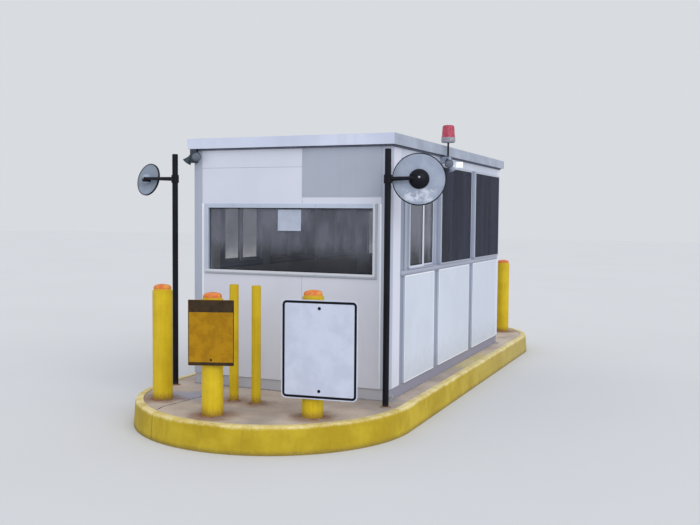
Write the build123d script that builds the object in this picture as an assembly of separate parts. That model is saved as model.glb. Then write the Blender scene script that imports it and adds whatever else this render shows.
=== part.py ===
from build123d import *
import os
from math import cos, degrees, radians, sin

# Security guard booth on its kerbed concrete island, in millimetres.
# The origin is the centre of the island's underside. +X is to the right of the
# booth's front wall, +Y runs from the front wall to the rear wall, +Z is up.

# Island: a slab inside a cast kerb, both ends half round. The gaps run from the
# booth's ends to where the half rounds start.
ISLAND_WIDTH = 2460
ISLAND_FRONT_GAP = 90
ISLAND_REAR_GAP = 646
SLAB_TOP = 210
KERB_WIDTH = 80
KERB_LIP = 6
KERB_BATTER = 14
KERB_ROUND = 26
KERB_JOINT = 10
KERB_JOINT_ANGLE = 64

# Booth: a base channel, sandwich walls on a grey frame, a flat roof.
BOOTH_WIDTH = 1931
BOOTH_LENGTH = 3844
BOOTH_X = 44
WALL = 60
BASE_HEIGHT = 103
BASE_SETBACK = 9
BASE_CHANNEL = 76
FLOOR_THICK = 28
ROOF_THICK = 70
ROOF_OVERHANG = 42
FASCIA_HEIGHT = 92
FASCIA_THICK = 12
FASCIA_DROP = 14
ROOF_CROWN = 6

# Corner columns: folded sheet, one leg on each wall.
CORNER_FRONT_LEG = 85
CORNER_SIDE_LEG = 242
CORNER_REAR_SIDE_LEG = 104
CORNER_ROUND = 6

# Front wall: one wide window and a board over its right half, both hung from the wall's top.
FRONT_WINDOW_MARGIN = 35
FRONT_WINDOW_DROP = 509
FRONT_WINDOW_HEIGHT = 636
FRAME_FACE = 38
FRAME_LAP = 18
FRAME_PROUD = 12
FRAME_CHAMFER = 4
GLASS_THICK = 8
BOARD_WIDTH = 741
BOARD_DROP = 25
BOARD_HEIGHT = 425
BOARD_THICK = 4

# Side walls: posts, panels below the sill, windows above it.
POST_STARTS = (242, 1200, 2460)
POST_WIDTHS = (108, 150, 160)
POST_RECESS = 8
PANEL_PROUD = 6
SILL_LOW = 1050
SILL_HEIGHT = 46
HEADER_HEIGHT = 110
RAIL_PROUD = 10
WINDOW_FACE = 20
WINDOW_PROUD = 24
GLASS_BACKSET = 5
MULLION = 24
MULLION_BACKSET = 2

# The sliding window in each side's front bay: two sashes, one on each side of a track lip.
SLIDER_JAMB = 84
SLIDER_FACE = 14
SLIDER_PROUD = 16
SASH_FACE = 20
SASH_DEPTH = 15
SASH_BACKSET = 5
SASH_GAP = 2
MEETING_STILE = 46
REAR_STILE = 30
STILE_CENTRE = 832
TRACK_LIP = 1.2
TRACK_LIP_HEIGHT = 8

# Rear wall: a half glazed door on three hinges and a small window. The door, its frame and
# the strip of wall over them set the height of every wall.
DOOR_MARGIN = 14.5
DOOR_WIDTH = 864
DOOR_HEIGHT = 1981
WALL_OVER_DOOR = 52
DOOR_LEAF_THICK = 45
DOOR_FRAME_FACE = 44
DOOR_FRAME_PROUD = 10
DOOR_GAP = 3
THRESHOLD_HEIGHT = 12
THRESHOLD_NOSE = 24
HINGE_RADIUS = 9
HINGE_LENGTH = 102
HINGE_FROM_END = 180
HINGE_PROUD = 8
LITE_WIDTH = 559
LITE_HEIGHT = 814
LITE_LOW = 1000
LITE_FACE = 32
LITE_PROUD = 8
HANDLE_HEIGHT = 960
HANDLE_PLATE_WIDTH = 52
HANDLE_PLATE_HEIGHT = 180
HANDLE_PLATE_THICK = 6
HANDLE_PLATE_ROUND = 10
HANDLE_EDGE = 40
HANDLE_NECK_RADIUS = 10
LEVER_LENGTH = 128
LEVER_HEIGHT = 20
LEVER_THICK = 16
LEVER_STANDOFF = 38
LEVER_ROUND = 6
REAR_WINDOW_GAP = 104
REAR_WINDOW_MARGIN = 70

# Warning light on the right eave, and twin lamp heads there and at the front left corner.
BEACON_X = 66
BEACON_Y = 1400
BEACON_RADIUS = 68
BEACON_TOP_RADIUS = 60
BEACON_LENS = 118
BEACON_BASE = 50
BEACON_LIFT = 39
STEM_RADIUS = 9
BASE_CHAMFER = 8
LENS_STEP = 2
LENS_CHAMFER = 7
BOX_SIZE = 78
BOX_HEIGHT = 62
BOX_DEPTH = 90
BOX_ROUND = 8
BOX_DROP = 30
FLOOD_RADIUS = 41
FLOOD_LENGTH = 90
FLOOD_NECK = 18
FLOOD_BULGE = 9
SOCKET_LENGTH = 40
HEAD_SEAT = 14
HEAD_FROM_WALL = 66
NEAR_HEAD_ANGLE = 30
NEAR_HEAD_TILT = 28
FAR_HEAD_ANGLE = 150
FAR_HEAD_TILT = 65
CORNER_BOX_WIDTH = 62
CORNER_BOX_DEPTH = 42
CORNER_BOX_HEIGHT = 126
CORNER_BOX_OVERLAP = 43
CORNER_HEAD_DROP = 46
LEFT_HEAD_ANGLE = -80
LEFT_HEAD_TILT = 52
FRONT_HEAD_ANGLE = 36
FRONT_HEAD_TILT = 20
EAVE_LAMP = 56
EAVE_LAMP_Y = 1950
EAVE_LAMP_DROP = 46
EAVE_LAMP_ROUND = 8

# Traffic mirrors on black posts at the two front corners.
MIRROR_POST_RADIUS = 26
MIRROR_POST_HEIGHT = 2115
POST_CHAMFER = 3
MIRROR_TILT = 12
RIGHT_POST = (36, -180)
RIGHT_MIRROR_CENTRE = (262, -60)
RIGHT_MIRROR_HEIGHT = 1873
RIGHT_MIRROR_RADIUS = 213
RIGHT_MIRROR_ANGLE = 18.6
RIGHT_HUB_RADIUS = 84
LEFT_POST = (-2053, -128)
LEFT_MIRROR_CENTRE = (-2442, -2)
LEFT_MIRROR_HEIGHT = 1894
LEFT_MIRROR_RADIUS = 146
LEFT_MIRROR_ANGLE = -15
LEFT_HUB_RADIUS = 46
MIRROR_BULGE = 42
MIRROR_EDGE = 10
RIM_WIDTH = 14
RIM_DEPTH = 18
RIM_CHAMFER = 3
HUB_DEPTH = 62
HUB_EDGE = 6
ARM_LIFT = 40
ARM_RISE = 12
ARM_RADIUS = 19
ARM_TIP_RADIUS = 13
COLLAR_WALL = 8
COLLAR_HEIGHT = 70

# Bollards: filled pipes with a crown. Each stands inside a nose's kerb: its gap to the
# kerb and its angle round the nose's centre, anticlockwise from +X, give its place.
BOLLARD_RADIUS = 84
CROWN_RADIUS = 74
CROWN_HEIGHT = 54
CROWN_EDGE = 38
CROWN_ROUND = 28
LEFT_BOLLARD_HEIGHT = 926
LEFT_BOLLARD_GAP = 77
LEFT_BOLLARD_ANGLE = 217
CAUTION_BOLLARD_HEIGHT = 914
CAUTION_BOLLARD_GAP = 119
CAUTION_BOLLARD_ANGLE = 265.3
SPEED_BOLLARD_HEIGHT = 942
SPEED_BOLLARD_GAP = 127
SPEED_BOLLARD_ANGLE = 314.5
REAR_BOLLARD_HEIGHT = 930
REAR_BOLLARD_GAP = 126
REAR_BOLLARD_ANGLE = 29.1

# Two narrow posts between the bollards and the booth.
NARROW_RADIUS = 39
NARROW_HEIGHT = 985
NARROW_POSTS = ((-1213, -496), (-988, -517))

# Sign plates, on the second and the third bollard.
SIGN_THICK = 4
SPEED_SIGN_ROUND = 38
CAUTION_SIGN_ROUND = 6
SIGN_STANDOFF = 22
SIGN_BAR_WIDTH = 60
SIGN_BAR_MARGIN = 60
SIGN_BAR_WRAP = 17
SPEED_SIGN_WIDTH = 610
SPEED_SIGN_HEIGHT = 762
SPEED_SIGN_LOW = 166
SPEED_SIGN_ANGLE = 7
SPEED_SIGN_SHIFT = 86
CAUTION_SIGN_WIDTH = 356
CAUTION_SIGN_HEIGHT = 508
CAUTION_SIGN_LOW = 410
CAUTION_SIGN_ANGLE = 20
CAUTION_SIGN_SHIFT = 12

# How far a cutting block reaches past what it cuts.
CUT = 1

# Places on the island are given from the booth's front right corner, at slab level.
HALF_WIDTH = BOOTH_WIDTH / 2
HALF_LENGTH = BOOTH_LENGTH / 2
ISLAND_STRAIGHT = ISLAND_FRONT_GAP + BOOTH_LENGTH + ISLAND_REAR_GAP
BOOTH_Y = (ISLAND_FRONT_GAP - ISLAND_REAR_GAP) / 2
CORNER = Pos(BOOTH_X + HALF_WIDTH, BOOTH_Y - HALF_LENGTH, SLAB_TOP)
BOOTH = Pos(BOOTH_X, BOOTH_Y, SLAB_TOP)
NOSE_RADIUS = ISLAND_WIDTH / 2
NOSE_Y = ISLAND_STRAIGHT / 2
SLAB_RADIUS = NOSE_RADIUS - KERB_WIDTH
WALL_TOP = BASE_HEIGHT + DOOR_HEIGHT + DOOR_FRAME_FACE + WALL_OVER_DOOR
WALL_EDGE = HALF_WIDTH - CORNER_FRONT_LEG
HEADER_LOW = WALL_TOP - HEADER_HEIGHT
FRONT_WINDOW_HIGH = WALL_TOP - FRONT_WINDOW_DROP
FRONT_WINDOW_LOW = FRONT_WINDOW_HIGH - FRONT_WINDOW_HEIGHT
ROOF_TOP = WALL_TOP + ROOF_THICK
FASCIA_LOW = WALL_TOP - FASCIA_DROP
BOX_TOP = WALL_TOP - BOX_DROP
BEACON_BOTTOM = ROOF_TOP + BEACON_LIFT

# Wall planes: u runs to the right as seen from outside, v is up, n is outward.
FRONT = Plane(origin=(0, -HALF_LENGTH, 0), x_dir=(1, 0, 0), z_dir=(0, -1, 0))
REAR = Plane(origin=(0, HALF_LENGTH, 0), x_dir=(-1, 0, 0), z_dir=(0, 1, 0))
RIGHT = Plane(origin=(HALF_WIDTH, -HALF_LENGTH, 0), x_dir=(0, 1, 0), z_dir=(1, 0, 0))

parts = {}


def block(x, y, z):
    """A box between two limits along each axis."""
    size = [high - low for low, high in (x, y, z)]
    return Pos(x[0], y[0], z[0]) * Box(*size, align=(Align.MIN, Align.MIN, Align.MIN))


def on_wall(plane, u, v, n):
    """A box on a wall plane, between limits along the wall, up it and out of it."""
    return plane.location * block(u, v, n)


def wall_frame(plane, u, v, n, face, chamfer_size=0):
    """A rectangular ring on a wall plane, with its outer front edge chamfered."""
    outer = on_wall(plane, u, v, n)
    if chamfer_size:
        front = outer.faces().sort_by(Axis(plane.origin, plane.z_dir))[-1]
        outer = chamfer(front.edges(), chamfer_size)
    hole = on_wall(plane, (u[0] + face, u[1] - face), (v[0] + face, v[1] - face), (n[0] - CUT, n[1] + CUT))
    return outer - hole


def mirrored(shape):
    """The same piece on the booth's other side."""
    return mirror(shape, about=Plane.YZ)


def kerb_section(height):
    """The kerb's cross section: inner face at the slab, battered outer face, worn round edge."""
    outline = make_face(
        Polyline(
            (SLAB_RADIUS, 0),
            (NOSE_RADIUS, 0),
            (NOSE_RADIUS - KERB_BATTER, height),
            (SLAB_RADIUS, height),
            close=True,
        )
    )
    corner = outline.vertices().group_by(Axis.Y)[-1].sort_by(Axis.X)[-1]
    return fillet(corner, KERB_ROUND)


def kerb_nose(centre_y, start, sweep):
    """A curved kerb length, turned about the nose's centre."""
    section = Plane.XZ * kerb_section(SLAB_TOP + KERB_LIP)
    turned = revolve(section, Axis.Z, revolution_arc=sweep)
    return Pos(0, centre_y, 0) * Rot(0, 0, start) * turned


def kerb_side():
    """The straight kerb on the right of the island."""
    section = Plane.XZ * kerb_section(SLAB_TOP + KERB_LIP)
    return extrude(Pos(0, NOSE_Y, 0) * section, ISLAND_STRAIGHT, dir=(0, -1, 0))


def make_island():
    slab_plan = SlotCenterToCenter(ISLAND_STRAIGHT, 2 * SLAB_RADIUS, rotation=90)
    parts["island_slab"] = extrude(slab_plan, SLAB_TOP)
    joint = degrees(KERB_JOINT / NOSE_RADIUS)
    front_left = kerb_nose(-NOSE_Y, 180, KERB_JOINT_ANGLE - joint)
    front = kerb_nose(-NOSE_Y, 180 + KERB_JOINT_ANGLE, 180 - KERB_JOINT_ANGLE)
    parts["kerb_noses"] = Compound([front_left, front, kerb_nose(NOSE_Y, 0, 180)])
    right = kerb_side()
    parts["kerb_sides"] = Compound([right, mirrored(right)])


def make_base():
    """A steel channel ring with its web outward, and the floor let into it."""
    half_x = HALF_WIDTH - BASE_SETBACK
    half_y = HALF_LENGTH - BASE_SETBACK
    outer = block((-half_x, half_x), (-half_y, half_y), (0, BASE_HEIGHT))
    inner_x = half_x - BASE_CHANNEL
    inner_y = half_y - BASE_CHANNEL
    inner = block((-inner_x, inner_x), (-inner_y, inner_y), (-CUT, BASE_HEIGHT + CUT))
    parts["base_frame"] = BOOTH * (outer - inner)
    floor = block((-inner_x, inner_x), (-inner_y, inner_y), (BASE_HEIGHT - FLOOR_THICK, BASE_HEIGHT))
    legs = block((-inner_x, inner_x), (-BASE_CHANNEL / 2, BASE_CHANNEL / 2), (0, BASE_HEIGHT - FLOOR_THICK))
    parts["floor"] = BOOTH * (floor + legs)


def corner_column(x_sign, y_sign, x_leg, y_leg):
    """An L section with a rounded outer corner, standing on the base."""
    outline = make_face(
        Polyline(
            (0, 0), (-x_leg, 0), (-x_leg, WALL), (-WALL, WALL), (-WALL, y_leg), (0, y_leg), close=True
        )
    )
    section = fillet(outline.vertices().sort_by_distance((0, 0))[0], CORNER_ROUND)
    column = extrude(section, WALL_TOP - BASE_HEIGHT)
    column = Pos(HALF_WIDTH, -HALF_LENGTH, BASE_HEIGHT) * column
    if x_sign < 0:
        column = mirrored(column)
    if y_sign > 0:
        column = mirror(column, about=Plane.XZ)
    return column


def make_corners():
    front = [corner_column(side, -1, CORNER_FRONT_LEG, CORNER_SIDE_LEG) for side in (1, -1)]
    rear = [corner_column(side, 1, CORNER_FRONT_LEG, CORNER_REAR_SIDE_LEG) for side in (1, -1)]
    parts["front_corners"] = BOOTH * Compound(front)
    parts["rear_corners"] = BOOTH * Compound(rear)


def cased_window(plane, u, v):
    """A window frame with a sleeve through the wall and a flange over the joint."""
    sleeve_u = (u[0] + FRAME_LAP, u[1] - FRAME_LAP)
    sleeve_v = (v[0] + FRAME_LAP, v[1] - FRAME_LAP)
    flange = wall_frame(plane, u, v, (0, FRAME_PROUD), FRAME_FACE, FRAME_CHAMFER)
    sleeve = wall_frame(plane, sleeve_u, sleeve_v, (-WALL, 0), FRAME_FACE - FRAME_LAP)
    hole = on_wall(plane, sleeve_u, sleeve_v, (-WALL - CUT, CUT))
    pane_u = (u[0] + FRAME_FACE, u[1] - FRAME_FACE)
    pane_v = (v[0] + FRAME_FACE, v[1] - FRAME_FACE)
    pane_n = -WALL / 3
    pane = on_wall(plane, pane_u, pane_v, (pane_n, pane_n + GLASS_THICK))
    return flange + sleeve, hole, pane


def make_front():
    half_window = WALL_EDGE - FRONT_WINDOW_MARGIN
    frame, hole, pane = cased_window(
        FRONT, (-half_window, half_window), (FRONT_WINDOW_LOW, FRONT_WINDOW_HIGH)
    )
    wall = on_wall(FRONT, (-WALL_EDGE, WALL_EDGE), (BASE_HEIGHT, WALL_TOP), (-WALL, 0))
    parts["front_wall"] = BOOTH * (wall - hole)
    parts["front_window_frame"] = BOOTH * frame
    parts["front_window_glass"] = BOOTH * pane
    board_u = (WALL_EDGE - BOARD_WIDTH, WALL_EDGE)
    board_high = WALL_TOP - BOARD_DROP
    board = on_wall(FRONT, board_u, (board_high - BOARD_HEIGHT, board_high), (0, BOARD_THICK))
    parts["gate_board"] = BOOTH * board


def side_posts():
    """The three grey posts of a side wall, a little behind the panels."""
    return [
        on_wall(RIGHT, (start, start + width), (BASE_HEIGHT, HEADER_LOW), (-WALL, -POST_RECESS))
        for start, width in zip(POST_STARTS, POST_WIDTHS)
    ]


def side_bays():
    """Where each bay between the posts starts and ends along the side wall."""
    ends = list(POST_STARTS[1:]) + [BOOTH_LENGTH - CORNER_REAR_SIDE_LEG]
    starts = [start + width for start, width in zip(POST_STARTS, POST_WIDTHS)]
    return list(zip(starts, ends))


def side_rails(posts):
    """The sill rail, notched round the posts, and the header rail on top of them."""
    span = (CORNER_SIDE_LEG, BOOTH_LENGTH - CORNER_REAR_SIDE_LEG)
    sill = on_wall(RIGHT, span, (SILL_LOW, SILL_LOW + SILL_HEIGHT), (-WALL, RAIL_PROUD))
    sill = chamfer(sill.edges().filter_by(Axis.Y).group_by(Axis.X)[-1], FRAME_CHAMFER)
    for post in posts:
        sill -= post
    header = on_wall(RIGHT, span, (HEADER_LOW, WALL_TOP), (-WALL, 0))
    return [sill, header]


def sash(u, v, n, near_stile, far_stile):
    """A glazed sash: two rails, a stile of its own width on each side, and the pane."""
    outer = on_wall(RIGHT, u, v, n)
    pane_u = (u[0] + near_stile, u[1] - far_stile)
    pane_v = (v[0] + SASH_FACE, v[1] - SASH_FACE)
    hole = on_wall(RIGHT, pane_u, pane_v, (n[0] - CUT, n[1] + CUT))
    middle = (n[0] + n[1] - GLASS_THICK) / 2
    return outer - hole, on_wall(RIGHT, pane_u, pane_v, (middle, middle + GLASS_THICK))


def sliding_window(u, v):
    """The front bay's window: a wide near jamb, a proud frame with a track lip, two sashes."""
    slider_u = (u[0] + SLIDER_JAMB, u[1])
    jamb = on_wall(RIGHT, (u[0], slider_u[0]), v, (-WALL, 0))
    flush = wall_frame(RIGHT, slider_u, v, (-WALL, 0), SLIDER_FACE)
    proud = wall_frame(RIGHT, slider_u, v, (0, SLIDER_PROUD), SLIDER_FACE, FRAME_CHAMFER)
    inner_u = (slider_u[0] + SLIDER_FACE, slider_u[1] - SLIDER_FACE)
    inner_v = (v[0] + SLIDER_FACE, v[1] - SLIDER_FACE)

    front = SLIDER_PROUD - SASH_BACKSET
    outer_track = (front - SASH_DEPTH, front)
    inner_track = (outer_track[0] - SASH_GAP - SASH_DEPTH, outer_track[0] - SASH_GAP)
    between = (outer_track[0] + inner_track[1]) / 2
    lip_n = (between - TRACK_LIP / 2, between + TRACK_LIP / 2)
    sill_lip = on_wall(RIGHT, inner_u, (inner_v[0], inner_v[0] + TRACK_LIP_HEIGHT), lip_n)
    head_lip = on_wall(RIGHT, inner_u, (inner_v[1] - TRACK_LIP_HEIGHT, inner_v[1]), lip_n)
    frame = jamb + flush + proud + sill_lip + head_lip

    sliding_u = (inner_u[0], STILE_CENTRE + MEETING_STILE / 2)
    fixed_u = (STILE_CENTRE - REAR_STILE / 2, inner_u[1])
    sliding, sliding_pane = sash(sliding_u, inner_v, outer_track, SASH_FACE, MEETING_STILE)
    fixed, fixed_pane = sash(fixed_u, inner_v, inner_track, REAR_STILE, SASH_FACE)
    return frame, [sliding, fixed], [sliding_pane, fixed_pane]


def fixed_window(u, v):
    """A dark window: a thin proud frame with one mullion, glazed nearly flush."""
    frame = wall_frame(RIGHT, u, v, (-WALL, WINDOW_PROUD), WINDOW_FACE, FRAME_CHAMFER)
    middle = (u[0] + u[1]) / 2
    inner_u = (u[0] + WINDOW_FACE, u[1] - WINDOW_FACE)
    inner_v = (v[0] + WINDOW_FACE, v[1] - WINDOW_FACE)
    glass_n = (WINDOW_PROUD - GLASS_BACKSET - GLASS_THICK, WINDOW_PROUD - GLASS_BACKSET)
    bar = (middle - MULLION / 2, middle + MULLION / 2)
    mullion = on_wall(RIGHT, bar, inner_v, (0, WINDOW_PROUD - MULLION_BACKSET))
    panes = [
        on_wall(RIGHT, (inner_u[0], bar[0]), inner_v, glass_n),
        on_wall(RIGHT, (bar[1], inner_u[1]), inner_v, glass_n),
    ]
    return frame + mullion, panes


def make_sides():
    posts = side_posts()
    rails = side_rails(posts)
    bays = side_bays()
    panels = [
        on_wall(RIGHT, bay, (BASE_HEIGHT, SILL_LOW), (-WALL, PANEL_PROUD)) for bay in bays
    ]
    height = (SILL_LOW + SILL_HEIGHT, HEADER_LOW)
    slider_frame, sashes, slider_panes = sliding_window(bays[0], height)
    middle_frame, middle_panes = fixed_window(bays[1], height)
    rear_frame, rear_panes = fixed_window(bays[2], height)
    groups = {
        "side_posts": posts,
        "side_rails": rails,
        "side_lower_panels": panels,
        "side_window_frames": [slider_frame, middle_frame, rear_frame],
        "side_sashes": sashes,
        "side_glass": slider_panes + middle_panes + rear_panes,
    }
    for name, pieces in groups.items():
        parts[name] = BOOTH * Compound(pieces + [mirrored(piece) for piece in pieces])


def make_rear():
    """The rear wall with a closed, half glazed door and a window beside it."""
    cut_u = (DOOR_MARGIN - WALL_EDGE, DOOR_MARGIN - WALL_EDGE + DOOR_WIDTH + 2 * DOOR_FRAME_FACE)
    door_u = (cut_u[0] + DOOR_FRAME_FACE, cut_u[1] - DOOR_FRAME_FACE)
    door_v = (BASE_HEIGHT + THRESHOLD_HEIGHT, BASE_HEIGHT + DOOR_HEIGHT)
    cut_v = (BASE_HEIGHT, door_v[1] + DOOR_FRAME_FACE)
    window_u = (cut_u[1] + REAR_WINDOW_GAP, WALL_EDGE - REAR_WINDOW_MARGIN)
    frame, hole, pane = cased_window(REAR, window_u, (FRONT_WINDOW_LOW, FRONT_WINDOW_HIGH))
    wall = on_wall(REAR, (-WALL_EDGE, WALL_EDGE), (BASE_HEIGHT, WALL_TOP), (-WALL, 0))
    doorway = on_wall(REAR, cut_u, (cut_v[0] - CUT, cut_v[1]), (-WALL - CUT, CUT))
    parts["rear_wall"] = BOOTH * (wall - hole - doorway)
    parts["rear_window_frame"] = BOOTH * frame

    casing = on_wall(REAR, cut_u, cut_v, (-WALL, DOOR_FRAME_PROUD))
    casing -= on_wall(REAR, door_u, door_v, (-WALL - CUT, DOOR_FRAME_PROUD + CUT))
    threshold_v = (BASE_HEIGHT, door_v[0])
    threshold = on_wall(REAR, door_u, threshold_v, (-WALL, THRESHOLD_NOSE))
    top_front = threshold.edges().filter_by(Axis.X).group_by(Axis.Z)[-1].group_by(Axis.Y)[-1]
    casing += chamfer(top_front, THRESHOLD_HEIGHT / 2)
    parts["door_frame"] = BOOTH * casing

    leaf_u = (door_u[0] + DOOR_GAP, door_u[1] - DOOR_GAP)
    leaf_v = (door_v[0], door_v[1] - DOOR_GAP)
    leaf = on_wall(REAR, leaf_u, leaf_v, (-DOOR_LEAF_THICK, 0))
    middle_u = (door_u[0] + door_u[1]) / 2
    lite_u = (middle_u - LITE_WIDTH / 2, middle_u + LITE_WIDTH / 2)
    lite_v = (LITE_LOW, LITE_LOW + LITE_HEIGHT)
    leaf -= on_wall(REAR, lite_u, lite_v, (-DOOR_LEAF_THICK - CUT, CUT))
    trim_u = (lite_u[0] - LITE_FACE, lite_u[1] + LITE_FACE)
    trim_v = (lite_v[0] - LITE_FACE, lite_v[1] + LITE_FACE)
    leaf += wall_frame(REAR, trim_u, trim_v, (0, LITE_PROUD), LITE_FACE, FRAME_CHAMFER)
    parts["door_leaf"] = BOOTH * leaf
    middle = -DOOR_LEAF_THICK / 2
    lite = on_wall(REAR, lite_u, lite_v, (middle, middle + GLASS_THICK))
    parts["rear_glass"] = BOOTH * Compound([pane, lite])

    knuckle = Rot(90, 0, 0) * Cylinder(HINGE_RADIUS, HINGE_LENGTH)
    knuckle = REAR.location * Pos(door_u[0], 0, HINGE_PROUD) * knuckle
    heights = (leaf_v[0] + HINGE_FROM_END, (leaf_v[0] + leaf_v[1]) / 2, leaf_v[1] - HINGE_FROM_END)
    hinges = [Pos(0, 0, height) * knuckle - casing - leaf for height in heights]
    parts["door_hinges"] = BOOTH * Compound(hinges)
    pivot = leaf_u[1] - HANDLE_EDGE - HANDLE_PLATE_WIDTH / 2
    parts["door_handle"] = BOOTH * REAR.location * Pos(pivot, HANDLE_HEIGHT, 0) * lever_handle()


def lever_handle():
    """A lever on a long plate, about the pivot: the lever points away from the door's edge."""
    outline = RectangleRounded(HANDLE_PLATE_WIDTH, HANDLE_PLATE_HEIGHT, HANDLE_PLATE_ROUND)
    plate = extrude(outline, HANDLE_PLATE_THICK)
    neck_length = LEVER_STANDOFF + LEVER_THICK / 2
    neck = Pos(0, 0, neck_length / 2) * Cylinder(HANDLE_NECK_RADIUS, neck_length)
    lever = block(
        (HANDLE_NECK_RADIUS - LEVER_LENGTH, HANDLE_NECK_RADIUS),
        (-LEVER_HEIGHT / 2, LEVER_HEIGHT / 2),
        (LEVER_STANDOFF, LEVER_STANDOFF + LEVER_THICK),
    )
    lever = fillet(lever.edges().filter_by(Axis.X), LEVER_ROUND)
    return plate + neck + lever


def make_roof():
    """A roof panel with a folded fascia that hangs a little below it."""
    half_x = HALF_WIDTH + ROOF_OVERHANG
    half_y = HALF_LENGTH + ROOF_OVERHANG
    in_x = half_x - FASCIA_THICK
    in_y = half_y - FASCIA_THICK
    panel = block((-in_x, in_x), (-in_y, in_y), (WALL_TOP, ROOF_TOP))
    rise = in_x / 2
    crown = Wedge(2 * in_x, ROOF_CROWN, 2 * in_y, rise, rise, 2 * in_x - rise, 2 * in_y - rise)
    crown = Pos(0, 0, ROOF_TOP + ROOF_CROWN / 2) * Rot(90, 0, 0) * crown
    parts["roof_panel"] = BOOTH * (panel + crown)
    low = FASCIA_LOW
    ring = block((-half_x, half_x), (-half_y, half_y), (low, low + FASCIA_HEIGHT))
    ring -= block((-in_x, in_x), (-in_y, in_y), (low - CUT, low + FASCIA_HEIGHT + CUT))
    parts["roof_fascia"] = BOOTH * ring


def ball_radius(radius, rise):
    """The radius of the ball whose cap has this radius and this rise."""
    return (radius**2 + rise**2) / (2 * rise)


def domed(points, rise):
    """A turned solid: an outline from the axis outwards, closed at the top by a cap of a ball."""
    radius, height = points[-1]
    outline = Polyline((0, points[0][1]), *points)
    cap = RadiusArc((radius, height), (0, height + rise), -ball_radius(radius, rise))
    centre = Line((0, height + rise), (0, points[0][1]))
    return revolve(Plane.XZ * make_face([outline, cap, centre]), Axis.Z)


def flood_head(place, turn, drop):
    """A socket and a flared reflector lamp, aimed by a turn about Z and a drop below level."""
    lamp = domed(
        ((FLOOD_NECK, 0), (FLOOD_NECK, SOCKET_LENGTH), (FLOOD_RADIUS, FLOOD_LENGTH)), FLOOD_BULGE
    )
    return Pos(*place) * Rot(0, 0, turn) * Rot(90 + drop, 0, 0) * lamp


def junction_box():
    """The box on the header rail that carries the warning light and two lamp heads."""
    box_y = (BEACON_Y - BOX_SIZE / 2, BEACON_Y + BOX_SIZE / 2)
    box = block((0, BOX_DEPTH), box_y, (BOX_TOP - BOX_HEIGHT, BOX_TOP))
    return fillet(box.edges().filter_by(Axis.Z).group_by(Axis.X)[-1], BOX_ROUND)


def make_beacon():
    """The warning light: a junction box on the wall, a stem past the eave, a base and a lens."""
    stem_length = BEACON_BOTTOM - BOX_TOP
    stem = Pos(BEACON_X, BEACON_Y, BOX_TOP + stem_length / 2) * Cylinder(STEM_RADIUS, stem_length)
    parts["beacon_bracket"] = CORNER * (junction_box() + stem)
    base = Pos(BEACON_X, BEACON_Y, BEACON_BOTTOM + BEACON_BASE / 2) * Cylinder(BEACON_RADIUS, BEACON_BASE)
    base = chamfer(base.edges().filter_by(GeomType.CIRCLE).group_by(Axis.Z)[0], BASE_CHAMFER)
    parts["beacon_base"] = CORNER * base
    lens_z = BEACON_BOTTOM + BEACON_BASE + BEACON_LENS / 2
    lens = Pos(BEACON_X, BEACON_Y, lens_z) * Cone(BEACON_RADIUS - LENS_STEP, BEACON_TOP_RADIUS, BEACON_LENS)
    lens = chamfer(lens.edges().filter_by(GeomType.CIRCLE).group_by(Axis.Z)[-1], LENS_CHAMFER)
    parts["beacon_lens"] = CORNER * lens


def eave_heads():
    """The two heads under the warning light: each socket starts inside the junction box."""
    near_y = BEACON_Y - BOX_SIZE / 2 + HEAD_SEAT
    far_y = BEACON_Y + BOX_SIZE / 2 - HEAD_SEAT
    near_z = BOX_TOP - BOX_HEIGHT / 2
    far_z = BOX_TOP - BOX_HEIGHT + HEAD_SEAT
    near = flood_head((HEAD_FROM_WALL, near_y, near_z), NEAR_HEAD_ANGLE, NEAR_HEAD_TILT)
    far = flood_head((HEAD_FROM_WALL, far_y, far_z), FAR_HEAD_ANGLE, FAR_HEAD_TILT)
    return [near - junction_box(), far - junction_box()]


def corner_light():
    """A box under the eave at the front left corner, with a head to the left and one to the front."""
    box_x = (CORNER_BOX_OVERLAP - BOOTH_WIDTH - CORNER_BOX_WIDTH, CORNER_BOX_OVERLAP - BOOTH_WIDTH)
    box = block(box_x, (-CORNER_BOX_DEPTH, 0), (FASCIA_LOW - CORNER_BOX_HEIGHT, FASCIA_LOW))
    middle_y = -CORNER_BOX_DEPTH / 2
    head_z = FASCIA_LOW - CORNER_HEAD_DROP
    left = flood_head((box_x[0] + HEAD_SEAT, middle_y, head_z), LEFT_HEAD_ANGLE, LEFT_HEAD_TILT)
    front = flood_head((box_x[1] - HEAD_SEAT, middle_y, head_z), FRONT_HEAD_ANGLE, FRONT_HEAD_TILT)
    return box + left + front


def make_lamps():
    """The lamp heads at the eaves, and a small square lamp further back."""
    parts["floodlights"] = CORNER * Compound(eave_heads() + [corner_light()])
    lamp_y = (EAVE_LAMP_Y - EAVE_LAMP / 2, EAVE_LAMP_Y + EAVE_LAMP / 2)
    lamp_top = WALL_TOP - EAVE_LAMP_DROP
    lamp = block((0, EAVE_LAMP), lamp_y, (lamp_top - EAVE_LAMP, lamp_top))
    lamp = fillet(lamp.edges().filter_by(Axis.Z).group_by(Axis.X)[-1], EAVE_LAMP_ROUND)
    parts["eave_lamp"] = CORNER * lamp


def mirror_place(centre, height, turn):
    """The mirror's own frame: Z is the back's outward normal, tilted up as the face tilts down."""
    return Pos(centre[0], centre[1], height) * Rot(0, 0, turn) * Rot(90 - MIRROR_TILT, 0, 0)


def dish(radius):
    """A convex mirror: a flat back and a spherical face, with a plain edge."""
    return Rot(180, 0, 0) * domed(((radius, 0), (radius, MIRROR_EDGE)), MIRROR_BULGE)


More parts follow.
